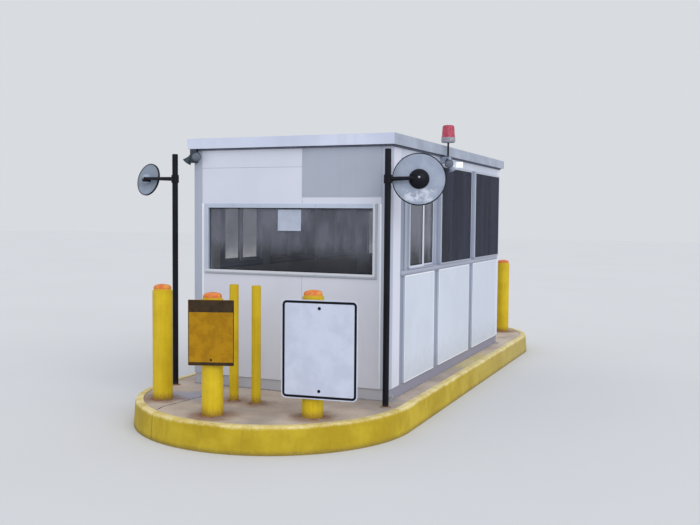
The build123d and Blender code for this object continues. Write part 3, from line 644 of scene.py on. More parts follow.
# %% Small finishes


def make_mottled(name, light, dark, spots, roughness=0.45, size=0.03, change=None, **others):
    """Crystals or weathered paint in patches, with darker spots."""
    material, place = start_material(name)
    patches = clouds(place, size, 4.0, 0.65)
    fine = clouds(place, size / 8, 4.0, 0.7)
    colour = mixed(fade(patches, 0.38, 0.62), dark, light)
    colour = mixed(fade(fine, 0.6, 0.74) * 0.4, colour, spots)
    if change is not None:
        colour = change(place, colour)
    rough = patches * 0.2 + roughness
    return end_material(material, colour, rough, patches + fine * 0.3, 0.0004, **others)


def lamp_colours(place, colour):
    """Dark teal at the front corner, and near the warning light one dark blue head and one grey."""
    middle = sum(corner.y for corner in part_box("beacon_bracket")) / 2
    colour = mixed(axis_of(place, 1).below(middle), colour, (58, 66, 92))
    return mixed(axis_of(place, 0).below(MIDDLE_X), colour, (44, 58, 68))


def mirror_backs_painted_light(place, colour):
    """Painted reflection in pale blotches below the right mirror's hub, and on the left back painted light
    above its arm and painted shade below it.
    """
    left, right = sorted(boxes_of("traffic_mirrors"), key=lambda box: box[0][0])
    z = axis_of(place, 2)
    middle = float(right[0][2] + right[1][2]) / 2
    near = fade(distance_to(place, (right[0] + right[1]) / 2), 0.16, 0.09)
    below = fade(z, middle - 0.06, middle - 0.10) * fade(z, middle - 0.20, middle - 0.16)
    reflection_blotch = fade(clouds(place, 0.07, 5.0, 0.65), 0.40, 0.58)
    # Painted reflection: pale blotches below the right mirror's hub.
    colour = mixed(near * below * reflection_blotch * 0.8, colour, (202, 208, 222))
    side = axis_of(place, 0).below(MIDDLE_X)
    middle = float(left[0][2] + left[1][2]) / 2
    # Painted light above the left arm, and painted shade below it.
    colour = mixed(side * fade(z, middle - 0.01, middle + 0.01), colour, (178, 194, 216))
    return mixed(side * fade(z, middle - 0.14, middle - 0.03) * 0.8, colour, (112, 124, 138))


MOTTLED = [
    ("galvanised_steel", (182, 184, 186), (150, 152, 156), (126, 110, 96),
     {"roughness": 0.35, "Metallic": 0.5}, ["sign_brackets"]),
    ("satin_steel", (196, 198, 202), (184, 186, 190), (172, 173, 176),
     {"roughness": 0.25, "size": 0.10, "Metallic": 0.9}, ["door_handle", "door_hinges"]),
    ("lamp_holder_paint", (140, 148, 165), (116, 124, 141), (76, 78, 86),
     {"change": lamp_colours}, ["floodlights"]),
    ("beacon_base_paint", (164, 160, 176), (134, 136, 142), (96, 98, 98), {}, ["beacon_base"]),
    ("mirror_back_paint", BACK_GREY, (136, 147, 168), (118, 128, 146),
     {"size": 0.12, "change": mirror_backs_painted_light}, ["traffic_mirrors"]),
    ("black_rubber", (22, 22, 27), (14, 14, 18), (34, 34, 38),
     {"roughness": 0.55, "Specular_IOR_Level": 0.2}, ["mirror_rims"]),
    ("white_lamp_plastic", (246, 249, 252), (238, 242, 246), (206, 206, 202),
     {"roughness": 0.2}, []),
    ("lit_lamp_plastic", (246, 250, 255), (240, 246, 252), (226, 230, 236),
     {"roughness": 0.2, "Emission_Color": (0.90, 0.96, 1.0, 1.0), "Emission_Strength": 0.45},
     ["eave_lamp"]),
    ("white_sign_sheeting", (196, 203, 223), (186, 193, 214), (172, 178, 194),
     {"roughness": 0.4, "size": 0.2}, ["speed_sign"]),
    ("ochre_sign_paint", (168, 124, 16), (150, 108, 10), (112, 84, 24),
     {"roughness": 0.6, "size": 0.08, "Specular_IOR_Level": 0.15}, ["caution_sign"]),
    ("black_sign_ink", (16, 16, 26), (11, 11, 18), (36, 36, 44),
     {"Specular_IOR_Level": 0.15}, []),
    ("dark_sign_band", (64, 50, 34), (50, 38, 26), (92, 74, 38),
     {"roughness": 0.6, "size": 0.05, "Specular_IOR_Level": 0.15}, []),
    ("grey_sealant", (138, 136, 140), (120, 118, 120), (104, 100, 98), {"roughness": 0.65}, []),
    # Painted shadow: the eave foam's dark grey stands in for the shade under the fascia.
    ("grey_foam", (112, 115, 130), (98, 101, 116), (78, 80, 92),
     {"roughness": 0.8, "Specular_IOR_Level": 0.2}, []),
    ("seam_shadow", (164, 168, 186), (152, 156, 174), (132, 134, 146), {}, []),
]
dress_all(make_mottled, MOTTLED)

# %% [markdown]
# ## Tinted glass
# A pane is nearly black glass that lets part of the light through. The part that it holds back
# is its Alpha, and dust makes the pane a little rougher and paler. On the windows, a paler band
# over the upper part is a painted reflection of the sky.

# %% Glass


REFLECTION_LOW = 1.34
REFLECTION_HIGH = 1.58


def sky_reflection_film(place):
    """Painted reflection of the sky on the upper part of the panes, thinner in broad upright patches."""
    ragged = (clouds(place, 0.3, 4.0, 0.6) - 0.5) * 0.2
    haze = fade(axis_of(place, 2) + ragged, REFLECTION_LOW, REFLECTION_HIGH)
    patches = clouds(stretched(place, 1, 1, 0.4), 0.16, 4.0, 0.6)
    return haze * (fade(patches, 0.36, 0.64) * 0.35 + 0.6)


def make_glass(name, tint, alpha, roughness=0.03, dust_colour=(126, 130, 136), painted_reflection=None):
    material, place = start_material(name)
    dust = fade(clouds(place, 0.25, 5.0, 0.6), 0.4, 0.75)
    colour = mixed(dust * 0.3, tint, dust_colour)
    solid = dust * 0.08 + alpha
    if painted_reflection is not None:
        # Painted reflection of the sky: paler and less clear towards the top of the pane.
        haze = painted_reflection(place)
        colour = mixed(haze * 0.8, colour, (134, 138, 154))
        solid = haze * 0.32 + solid
    return end_material(material, colour, dust * 0.1 + roughness, Alpha=solid, IOR=1.5)


window_glass = make_glass("window_glass", (34, 38, 48), 0.20, painted_reflection=sky_reflection_film)
dress(window_glass, "front_window_glass", "side_glass", "rear_glass")

# %% [markdown]
# ## Surfaces from arrays
# Every piece that is added below is a loft: a stack of rings with the same number of points,
# joined by quads. A screw head, a border, a gasket and a lamp glass differ only in the outline
# of their rings and in how each ring is drawn in and raised. Rings run anticlockwise seen from
# outside and rise outwards, so that faces point outwards by themselves.

# %% Lofts


def loft(rings, ends="caps"):
    """Join a grid of points, rings by points around, with quads.

    Point j of ring i, point j + 1, and the same two of ring i + 1 make a face. Each end is
    closed by one polygon ("caps"), or the last ring meets the first ("loop").
    """
    rings = np.asarray(rings, float)
    count, around = rings.shape[:2]
    last = count if ends == "loop" else count - 1
    i, j = np.meshgrid(np.arange(last), np.arange(around), indexing="ij")
    next_i, next_j = (i + 1) % count, (j + 1) % around
    corners = (i * around + j, i * around + next_j, next_i * around + next_j, next_i * around + j)
    faces = np.stack(corners, axis=-1).reshape(-1, 4).tolist()
    if ends == "caps":
        faces.append(list(range(around - 1, -1, -1)))
        faces.append(list(range((count - 1) * around, count * around)))
    return rings.reshape(-1, 3), faces


def together(shapes):
    """Several shapes as one: their points in one list, with the faces' numbers moved along."""
    points, faces, start = [], [], 0
    for some, polygons in shapes:
        points.append(some)
        faces += [[start + corner for corner in polygon] for polygon in polygons]
        start += len(some)
    return np.concatenate(points), faces


def add_piece(name, shapes, material, smooth=math.radians(32)):
    """Put shapes in the scene as one object, attached to the root body."""
    points, faces = together(shapes)
    mesh = bpy.data.meshes.new(name)
    mesh.from_pydata(points.tolist(), [], faces)
    mesh.shade_smooth()
    mesh.set_sharp_from_angle(angle=smooth)
    mesh.materials.append(material)
    piece = bpy.data.objects.new(name, mesh)
    bpy.context.scene.collection.objects.link(piece)
    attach(piece, "root")
    print(name, len(shapes), "shapes,", len(faces), "faces")
    return piece


# %% Flat places and outlines


class Plane:
    """A flat place on the object, with an origin and directions right, up and outwards."""

    def __init__(self, origin, right, up=(0.0, 0.0, 1.0)):
        self.origin = np.array(origin, float)
        self.right = np.array(right, float)
        self.up = np.array(up, float)
        self.out = np.cross(self.right, self.up)

    def place(self, flat, height=0.0):
        """origin + across * right + along * up + height * out, for an array of flat points."""
        flat = np.asarray(flat, float)
        return self.origin + flat[..., :1] * self.right + flat[..., 1:] * self.up + height * self.out

    def moved(self, across, along, height=0.0):
        return Plane(self.place((across, along), height), self.right, self.up)


def facing(origin, out):
    """A plane that looks along out, with its right direction level."""
    right = np.cross((0.0, 0.0, 1.0), out)
    right = right / np.linalg.norm(right)
    return Plane(origin, right, np.cross(out, right))


def level(x, y, z):
    """A plane that looks straight up."""
    return Plane((x, y, z), (1, 0, 0), (0, 1, 0))


def even_turn(steps):
    """The turn of each point of a ring, in radians."""
    return np.arange(steps) / steps * 2 * math.pi


def polar(radius, turn):
    """Flat points: the radius times the cosine and the sine of the turn."""
    return np.stack([radius * np.cos(turn), radius * np.sin(turn)], axis=-1)


def rounded(width, height, radius, steps=4):
    """A rounded rectangle: a quarter of a circle round each of four corner centres."""
    turn = np.linspace(0, math.pi / 2, steps + 1) + np.arange(4)[:, None] * math.pi / 2
    centres = np.array([(1, 1), (-1, 1), (-1, -1), (1, -1)]) * (width / 2 - radius, height / 2 - radius)
    return (centres[:, None, :] + polar(radius, turn)).reshape(-1, 2)


def turned(plane, profile, steps=24, ends="caps"):
    """A turned shape: one circle for each pair of radius and height."""
    turn = even_turn(steps)
    return loft([plane.place(polar(radius, turn), height) for radius, height in profile], ends)


def ball_cap(radius, rise, start, steps):
    """Radius and height of points on a cap of a ball, from start inwards to near the axis.

    The cap's edge gives the ball: R is (radius * radius + rise * rise) / (2 * rise). At r from
    the axis the cap stands sqrt(R * R - r * r) - (R - rise) over its edge.
    """
    ball = (radius**2 + rise**2) / (2 * rise)
    r = np.linspace(start, 0.002, steps)
    return list(zip(r, np.sqrt(ball**2 - r**2) - (ball - rise)))


def slab(plane, width, height, radius, levels, ends="caps"):
    """A plate with a rounded outline: each level is how far it is drawn in, and its height."""
    rings = []
    for inset, rise in levels:
        outline = rounded(width - 2 * inset, height - 2 * inset, max(radius - inset, 1e-4))
        rings.append(plane.place(outline, rise))
    return loft(rings, ends)


def border(plane, width, height, radius, band, low, high, edge=0.0005):
    """A flat band that runs round inside a rounded outline, with its upper edges eased."""
    outside = [(0, low), (0, high - edge), (edge, high)]
    inside = [(band - edge, high), (band, high - edge), (band, low)]
    return slab(plane, width, height, radius, outside + inside, "loop")


def within(plane, x0, x1, z0, z1):
    """The plane moved to the middle of a rectangle on it, and the rectangle's width and height."""
    return plane.moved((x0 + x1) / 2, (z0 + z1) / 2), x1 - x0, z1 - z0


def strip(plane, x0, x1, z0, z1, low, high, edge=0.001):
    """A straight bar between two corners, with eased edges."""
    levels = [(0, low), (0, high - edge), (edge, high)]
    return slab(*within(plane, x0, x1, z0, z1), edge, levels)


# Strips start this far inside what they lie on, and thin bands and screws half as far.
SUNK = 0.001
walls = {
    "front": Plane((0, FRONT, 0), (1, 0, 0)),
    "right": Plane((RIGHT, 0, 0), (0, 1, 0)),
    "left": Plane((LEFT, 0, 0), (0, -1, 0)),
    "rear": Plane((0, REAR, 0), (-1, 0, 0)),
}
ground = level(0, 0, SLAB)
print("planes:", ", ".join(walls), "and the ground")

# %% Where something lies on a wall


def on_wall(name, low, high):
    """A box in the frame, as across, up and out of the wall: two numbers each."""
    plane = walls[name]
    corners = np.array([low, high]) - plane.origin
    across = sorted(corners @ plane.right)
    out = sorted(corners @ plane.out)
    return across[0], across[1], float(low[2]), float(high[2]), out[0], out[1]


def wall_boxes(node, sides=("right", "left")):
    """The solids of a node as places on the wall whose side of the booth they are on."""
    found = []
    for low, high in boxes_of(node):
        side = sides[0] if (low[0] + high[0]) / 2 > MIDDLE_X else sides[-1]
        found.append((side, on_wall(side, low, high)))
    return found


print("first pane:", [round(float(c), 3) for c in wall_boxes("side_glass")[0][1]])

# %% [markdown]
# ## Gaskets
# Each pane sits against a black rubber gasket. It is a thin band round the pane's edge, so it
# can be made from the pane's own box, whichever wall the pane is in.

# %% Gaskets round the panes
GASKET = 0.007
GASKET_RISE = 0.0026
FRAME_ROUND = 0.002


def gasket(side, box):
    face = box[5]
    at = within(walls[side], *box[:4])
    return border(*at, FRAME_ROUND, GASKET, face - SUNK / 2, face + GASKET_RISE)


panes = wall_boxes("front_window_glass", ("front",))
panes += wall_boxes("rear_glass", ("rear",))
panes += wall_boxes("side_glass")
gaskets = [gasket(side, box) for side, box in panes]
add_piece("pane_gaskets", gaskets, finishes["black_rubber"])

# %% [markdown]
# ## Solar screens
# The two rear bays of each side are covered by dark woven screens, stretched just outside the
# glass. The weave lets a little light through, and the pale mullion behind it shows as a softer
# band. A screen is one thin closed sheet. Its threads are narrower than a pixel in the render,
# so they are two crossed sine waves in the bump and the colour.

# %% The woven material
THREAD = 0.0032


def make_screen_weave():
    material, place = start_material("solar_screen")
    wave = 2 * math.pi / THREAD
    across = (axis_of(place, 1) * wave).math("SINE", axis_of(place, 1) * wave)
    along = (axis_of(place, 2) * wave).math("SINE", axis_of(place, 2) * wave)
    weave = across * 0.25 + along * 0.25 + 0.5
    folds = clouds(stretched(place, 1, 1, 0.08), 0.12, 3.0, 0.5)
    colour = mixed(fade(folds, 0.35, 0.65), (35, 38, 55), (50, 54, 74))
    colour = mixed(weave * 0.35, colour, (26, 28, 42))
    return end_material(material, colour, 0.7, weave, 0.0006, Alpha=0.82, Specular_IOR_Level=0.25)


screen_weave = make_screen_weave()

# %% The screens, one for each fixed bay
SCREEN_INSET = 0.002
SCREEN_FACE = 0.0232
SCREEN_THICK = 0.0008
SCREEN_ROUND = 0.003
SPLINE = 0.006
SPLINE_BACK = 0.020
SPLINE_FACE = 0.0246
FIXED_PANES_OUT = 0.005
fixed_panes = [(side, box) for side, box in wall_boxes("side_glass") if box[4] > FIXED_PANES_OUT]


def bays(side, panes):
    """Two panes side by side make one bay: its outer edges and heights."""
    boxes = sorted(box for where, box in panes if where == side)
    return [(boxes[i][0], boxes[i + 1][1], boxes[i][2], boxes[i][3]) for i in (0, 2)]


screens = []
spline_rings = []
screen_levels = [(SCREEN_INSET, SCREEN_FACE - SCREEN_THICK), (SCREEN_INSET, SCREEN_FACE)]
for side in ("right", "left"):
    for bay in bays(side, fixed_panes):
        at = within(walls[side], *bay)
        screens.append(slab(*at, SCREEN_ROUND + SCREEN_INSET, screen_levels))
        spline_rings.append(border(*at, FRAME_ROUND, SPLINE, SPLINE_BACK, SPLINE_FACE))
add_piece("solar_screens", screens, screen_weave)
add_piece("screen_splines", spline_rings, finishes["black_rubber"])

# %% [markdown]
# ## Trims and seams
# The lower panels have an enamelled edge, and beside each front column a strip runs from the
# floor to the window's top; both are whiter than the walls as a painted highlight. A fine seam
# goes on above each strip to the eave. More seams show where the front wall's sheets meet: one
# above and one below the window, in line with the board's left edge, and a level one below the
# eave. The rear wall has two upright seams.

# %% Panel trims
TRIM = 0.011
TRIM_RISE = 0.0022
TRIM_ROUND = 0.003
TRIM_EDGE = 0.0008


def panel_trim(side, box):
    face = box[5]
    at = within(walls[side], *box[:4])
    return border(*at, TRIM_ROUND, TRIM, face - SUNK, face + TRIM_RISE, TRIM_EDGE)


trims = [panel_trim(side, box) for side, box in wall_boxes("side_lower_panels")]
add_piece("panel_trims", trims, finishes["bright_trim_enamel"])

# %% Bright strips beside the front columns
EDGE_STRIP = 0.014
board_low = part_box("gate_board")[0]
window_low, window_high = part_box("front_window_frame")
wall_left, wall_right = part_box("front_wall")[0].x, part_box("front_wall")[1].x
edge_strips = [
    strip(walls["front"], x, x + EDGE_STRIP, FLOOR, window_high.z, -SUNK, TRIM_RISE)
    for x in (wall_left, wall_right - EDGE_STRIP)
]
add_piece("front_edge_strips", edge_strips, finishes["bright_trim_enamel"])

# %% Seams of the front and rear walls
SEAM = 0.0035
SEAM_LEVELS = (-SUNK, 0.0006, 0.0004)
EAVE_SEAM = EAVE - 0.175


def upright_seam(side, x, z0, z1):
    return strip(walls[side], x - SEAM / 2, x + SEAM / 2, z0, z1, *SEAM_LEVELS)


seams = [upright_seam("front", x, window_high.z, EAVE) for x in (wall_left, wall_right)]
seams += [upright_seam("rear", -x, FLOOR, EAVE) for x in (wall_left, wall_right)]
seams.append(upright_seam("front", board_low.x, window_high.z, board_low.z))
seams.append(upright_seam("front", board_low.x, FLOOR, window_low.z))
level_heights = (EAVE_SEAM - SEAM / 2, EAVE_SEAM + SEAM / 2)
seams.append(strip(walls["front"], wall_left, board_low.x, *level_heights, *SEAM_LEVELS))
add_piece("wall_seams", seams, finishes["seam_shadow"])

# %% [markdown]
# ## The foam under the eave
# A strip of grey foam closes the gap between the walls and the fascia. Its dark grey is painted
# shadow: it stands in for the shade under the roof's edge.

# %% A foam strip round the walls
FOAM = 0.016
FOAM_OUT = 0.012
FOAM_TOP = 0.02
FOAM_ROUND = 0.004
foam_outside = [(-0.010, -FOAM), (-FOAM_OUT, 0.003 - FOAM), (-FOAM_OUT, FOAM_TOP)]
foam_levels = [(SUNK, -FOAM)] + foam_outside + [(SUNK, FOAM_TOP)]
booth_middle = level(MIDDLE_X, MIDDLE_Y, EAVE)
foam = slab(booth_middle, RIGHT - LEFT, REAR - FRONT, FOAM_ROUND, foam_levels, "loop")
add_piece("eave_foam_painted_shadow", [foam], finishes["grey_foam"])

# %% [markdown]
# ## Screws
# A pan head is a turned profile of a few rings. The same head, in two sizes, holds the window
# frames, the board and the side posts. It is repeated often, so it has only ten sides.

# %% Heads of screws
PAN_HEAD = 0.0045
SMALL_HEAD = 0.0032
POST_END = 0.06
POST_SPACING = 0.30


def screw(plane, x, z, radius, out=0.0):
    """A pan head: straight at its edge, then rounded towards a shallow flat."""
    rise = radius * 0.5
    profile = [(radius, out - SUNK / 2), (radius, out + rise * 0.35), (radius * 0.8, out + rise * 0.8)]
    return turned(plane.moved(x, z), profile + [(radius * 0.35, out + rise)], 10)


def spread(start, end, spacing):
    """Even places between two ends, about the spacing apart, the ends included."""
    return np.linspace(start, end, max(int(round((end - start) / spacing)) + 1, 2))


def screws_round(side, box, inset, spacing, radius):
    """Screws along all four sides of a frame, a little inside its outer edge."""
    x0, x1, z0, z1 = box[0] + inset, box[1] - inset, box[2] + inset, box[3] - inset
    places = [(x, z) for x in spread(x0, x1, spacing) for z in (z0, z1)]
    places += [(x, z) for z in spread(z0, z1, spacing)[1:-1] for x in (x0, x1)]
    return [screw(walls[side], x, z, radius, box[5]) for x, z in places]


# %% Screws of the windows, the board and the posts
front_frame = on_wall("front", *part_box("front_window_frame"))
rear_frame = on_wall("rear", *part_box("rear_window_frame"))
board_place = on_wall("front", *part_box("gate_board"))
# Each row is a wall and a place on it, then the screws' inset, spacing and radius.
screwed = [("front", front_frame, 0.019, 0.28, PAN_HEAD), ("rear", rear_frame, 0.019, 0.28, PAN_HEAD)]
screwed += [(side, box, 0.010, 0.42, SMALL_HEAD) for side, box in wall_boxes("side_window_frames")]
screwed.append(("front", board_place, 0.018, 0.36, PAN_HEAD))
frame_screws = [head for row in screwed for head in screws_round(*row)]
for side, box in wall_boxes("side_posts"):
    middle = (box[0] + box[1]) / 2
    rows = spread(box[2] + POST_END, box[3] - POST_END, POST_SPACING)
    frame_screws += [screw(walls[side], middle, z, PAN_HEAD, box[5]) for z in rows]
add_piece("frame_screws", frame_screws, finishes["galvanised_steel"])

# %% [markdown]
# ## Sign faces
# The two plates stand on their bollards at their own angles. A plate's plane comes from its CAD
# mesh: the longest flat direction of its points is its width, found by a singular value
# decomposition. The white plate has a black rounded border, and the ochre one a dark head and
# foot band. Both are otherwise blank. The bands are raised 0.4 mm, as thick screen ink and
# tape would be, exaggerated a little so that they stay clear of the plate.

# %% The plane of a plate


def plate_plane(node):
    """A plane on the outer face of an upright plate, with its width and height."""
    points = np.concatenate(solids_of(node))
    low, high = points.min(axis=0), points.max(axis=0)
    middle = (low + high) / 2
    flat = points[:, :2] - middle[:2]
    right = np.linalg.svd(flat, full_matrices=False)[2][0]
    plane = Plane(middle, np.append(right * np.sign(right[0]), 0.0))
    reach = (points - middle) @ plane.right
    out = (points - middle) @ plane.out
    plane = plane.moved((reach.min() + reach.max()) / 2, 0.0, out.max())
    return plane, reach.max() - reach.min(), high[2] - low[2]


speed_plane, speed_width, speed_height = plate_plane("speed_sign")
caution_plane, caution_width, caution_height = plate_plane("caution_sign")
print("speed plate", round(speed_width, 3), round(speed_height, 3))
print("caution plate", round(caution_width, 3), round(caution_height, 3))

# %% Borders, bands and bolts
INK = 0.0004
INK_LEVELS = (-SUNK / 2, INK, 0.0001)
BORDER_INSET = 0.008
BORDER_BAND = 0.019
BORDER_ROUND = 0.032
HEAD_BAND = 0.18
FOOT_BAND = 0.045
BAND_SIDE = 0.003
BAND_END = 0.004
LINE_INSET = 0.002
LINE = 0.005


def drawn_in(width, height, inset):
    """The width and height that are left inside a margin."""
    return width - 2 * inset, height - 2 * inset


speed_size = drawn_in(speed_width, speed_height, BORDER_INSET)
speed_border = border(speed_plane, *speed_size, BORDER_ROUND, BORDER_BAND, *INK_LEVELS)
add_piece("speed_sign_border", [speed_border], finishes["black_sign_ink"])


def caution_strip(z0, z1):
    half = caution_width / 2 - BAND_SIDE
    return strip(caution_plane, -half, half, z0, z1, *INK_LEVELS)


reach = caution_height / 2 - BAND_END
caution_size = drawn_in(caution_width, caution_height, LINE_INSET)
bands = [
    caution_strip(reach - HEAD_BAND * caution_height, reach),
    caution_strip(-reach, FOOT_BAND * caution_height - reach),
    border(caution_plane, *caution_size, LINE, LINE, *INK_LEVELS),
]
add_piece("caution_sign_bands", bands, finishes["dark_sign_band"])


def hex_bolt(plane, x, z, size):
    """A washer and a six-sided head with a chamfered top."""
    at = plane.moved(x, z)
    washer = turned(at, [(size * 1.5, -SUNK / 2), (size * 1.5, 0.0010), (size * 1.4, 0.0015)], 16)
    head = turned(at, [(size, 0.001), (size, size * 0.75), (size * 0.85, size * 0.85)], 6)
    return [washer, head]


def sign_bolts(plane, height, inset, size):
    """Two bolts on a plate's upright middle line, each the inset from its nearer edge."""
    reach = height / 2 - inset
    return hex_bolt(plane, 0, reach, size) + hex_bolt(plane, 0, -reach, size)


speed_bolts = sign_bolts(speed_plane, speed_height, inset=0.064, size=0.0085)
caution_bolts = sign_bolts(caution_plane, caution_height, inset=0.045, size=0.0060)
add_piece("speed_sign_bolts", speed_bolts, finishes["black_sign_ink"])
add_piece("caution_sign_bolts", caution_bolts, finishes["dark_sign_band"])

# %% [markdown]
# ## The mirrors
# A traffic mirror is a convex acrylic face in a rubber edge, with a pressed back. The camera
# sees the backs; the faces look away from it. The plane of each mirror
# comes from its rubber rim in the same way as a sign's: the direction in which a ring is thin
# is its axis. The face is a cap of a ball: at radius r it stands sqrt(R * R - r * r) from the
# ball's middle, where R follows from the mirror's own radius and its bulge.

# %% The plane of each mirror
RIM_WIDTH = 0.014
MIRROR_EDGE = 0.010
MIRROR_BULGE = 0.042


def ring_plane(points):
    """A plane through a ring's middle whose out direction is the ring's axis, with its radius."""
    middle = (points.min(axis=0) + points.max(axis=0)) / 2
    axis = np.linalg.svd(points - middle, full_matrices=False)[2][2]
    radius = np.linalg.norm(points - middle, axis=1).max()
    return facing(middle, axis * -np.sign(axis[1])), radius - RIM_WIDTH / 2


mirrors = [ring_plane(points) for points in solids_of("mirror_rims")]
for plane, radius in mirrors:
    print("mirror radius", round(radius, 3), "back faces", plane.out.round(2))

# %% The mirrored faces and the backs' beads


def face_profile(radius, lift):
    """Radius and depth from the edge to the middle of the mirror's face."""
    cap = ball_cap(radius, MIRROR_BULGE, radius - 0.0005, 14)
    return [(r, -(MIRROR_EDGE / 2 + depth + lift)) for r, depth in cap]


def make_mirror_glass():
    material, place = start_material("mirror_acrylic")
    haze = fade(clouds(place, 0.06, 4.0, 0.6), 0.4, 0.7)
    colour = mixed(haze * 0.3, (232, 236, 240), (206, 210, 216))
    return end_material(material, colour, haze * 0.05 + 0.03, Metallic=1.0)


def mirror_face(plane, radius):
    """A thin skin on the ball's cap: in along its outer side and out along its inner side."""
    return turned(plane, face_profile(radius, 0.0010) + face_profile(radius, 0.0002)[::-1], 40)


mirror_glass = make_mirror_glass()
faces = [mirror_face(plane, radius) for plane, radius in mirrors]
add_piece("mirror_faces", faces, mirror_glass)

BEAD_SHAPE = ((0.935, -0.001), (0.925, 0.001), (0.905, 0.001), (0.895, -0.001))
HUB_DEPTH = 0.062
HUB_BOLT = 0.0065
beads = []
hub_bolts = []
for plane, radius in mirrors:
    bead = [(radius * share, MIRROR_EDGE / 2 + rise) for share, rise in BEAD_SHAPE]
    beads.append(turned(plane, bead, 40, "loop"))
    hub_bolts += hex_bolt(plane.moved(0, 0, MIRROR_EDGE / 2 + HUB_DEPTH - SUNK), 0, 0, HUB_BOLT)
add_piece("mirror_back_beads", beads, finishes["mirror_back_paint"])
add_piece("mirror_hub_bolts", hub_bolts, finishes["galvanised_steel"])

# %% [markdown]
# ## The warning light's lens
# The lens is a ribbed cap of red plastic. Its surface is a function of the turn and the height:
# the radius tapers upwards, and a cosine of the turn presses shallow flutes into it. It
# replaces the plain CAD cone and fills the same space. Inside it stand a white bulb and a white
# dish, which give the lens its lighter core.

# %% The fluted lens
lens_low, lens_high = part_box("beacon_lens")
lens_x, lens_y = (lens_low.x + lens_high.x) / 2, (lens_low.y + lens_high.y) / 2
lens_place = level(lens_x, lens_y, lens_low.z)
LENS_RADIUS = (lens_high.x - lens_low.x) / 2
LENS_HEIGHT = lens_high.z - lens_low.z
LENS_TAPER = 0.90
LENS_SKIRT = 0.012
LENS_STEP = 0.003
BODY_FOOT = 0.017
BODY_TOP = 0.014
FLUTES = 20
FLUTE_DEPTH = 0.0024


def fluted_ring(radius, height, depth, steps=160):
    """A circle whose radius dips by half the depth times one minus the cosine of each flute."""
    turn = even_turn(steps)
    return lens_place.place(polar(radius - depth / 2 * (1 - np.cos(FLUTES * turn)), turn), height)


def lens_rings():
    """Rings of radius, height and flute depth, from the skirt to the flat top."""
    waist = LENS_RADIUS - LENS_STEP
    skirt = [(LENS_RADIUS, 0.0, 0.0), (LENS_RADIUS, LENS_SKIRT, 0.0), (waist, LENS_SKIRT + LENS_STEP, 0.0)]
    body = []
    for share in np.linspace(0.0, 1.0, 6):
        height = BODY_FOOT + share * (LENS_HEIGHT - BODY_FOOT - BODY_TOP)
        body.append((waist * (1 - (1 - LENS_TAPER) * share), height, FLUTE_DEPTH))
    top = LENS_RADIUS * LENS_TAPER
    crown = [(top - 0.006, LENS_HEIGHT - 0.006, 0.001), (top - 0.014, LENS_HEIGHT - 0.001, 0.0)]
    flat_top = [(top - 0.030, LENS_HEIGHT, 0.0), (0.002, LENS_HEIGHT, 0.0)]
    return [fluted_ring(*ring) for ring in skirt + body + crown + flat_top]


def make_lens_plastic():
    material, place = start_material("red_lens")
    haze = clouds(place, 0.03, 4.0, 0.6)
    colour = mixed(fade(haze, 0.35, 0.65), (168, 30, 66), (190, 52, 88))
    return end_material(material, colour, haze * 0.1 + 0.14, haze, 0.0003, Alpha=0.82, Coat_Weight=0.2)


lens_shape = loft(lens_rings())
lens = add_piece("ribbed_red_lens", [lens_shape], make_lens_plastic(), math.radians(50))
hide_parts("beacon_lens")

bulb = [(0.012, 0.001), (0.012, 0.03), (0.020, 0.045), (0.024, 0.062), (0.018, 0.078), (0.006, 0.086)]
dish = [(0.030, 0.001), (0.044, 0.02), (0.046, 0.024), (0.042, 0.024), (0.016, 0.004)]
bulb_shapes = [turned(lens_place, profile) for profile in (bulb, dish)]
add_piece("beacon_bulb", bulb_shapes, finishes["white_lamp_plastic"])

# %% [markdown]
# ## Lamp glasses
# Each floodlight head is a reflector lamp in a socket. Its glass is a grey lens in a metal ring,
# painted as the holder is. The heads aim down and outwards: a head's direction follows from its
# turn about the upright axis and its drop below level.

# %% Where the heads are
HEAD_LENGTH = 0.090
HEAD_RADIUS = 0.041
HEAD_BULGE = 0.009
HEAD_SEAT = 0.014
HEAD_FROM_WALL = 0.066
NEAR_HEAD_RISE = 0.031
CORNER_OUT = 0.021
box_low, box_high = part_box("beacon_bracket")
CORNER_BOX = (LEFT - 0.019, LEFT + 0.043)
CORNER_HEAD_Z = EAVE - 0.046
heads = [
    ((RIGHT + HEAD_FROM_WALL, box_low.y + HEAD_SEAT, box_low.z + NEAR_HEAD_RISE), 30, 28),
    ((RIGHT + HEAD_FROM_WALL, box_high.y - HEAD_SEAT, box_low.z + HEAD_SEAT), 150, 65),
    ((CORNER_BOX[0] + HEAD_SEAT, FRONT - CORNER_OUT, CORNER_HEAD_Z), -80, 52),
    ((CORNER_BOX[1] - HEAD_SEAT, FRONT - CORNER_OUT, CORNER_HEAD_Z), 36, 20),
]


def head_plane(place, turn, drop):
    """A plane whose out direction is the way that the head points."""
    turn, drop = math.radians(turn), math.radians(drop)
    ahead, down = math.cos(drop), math.sin(drop)
    return facing(place, np.array([ahead * math.sin(turn), -ahead * math.cos(turn), -down]))


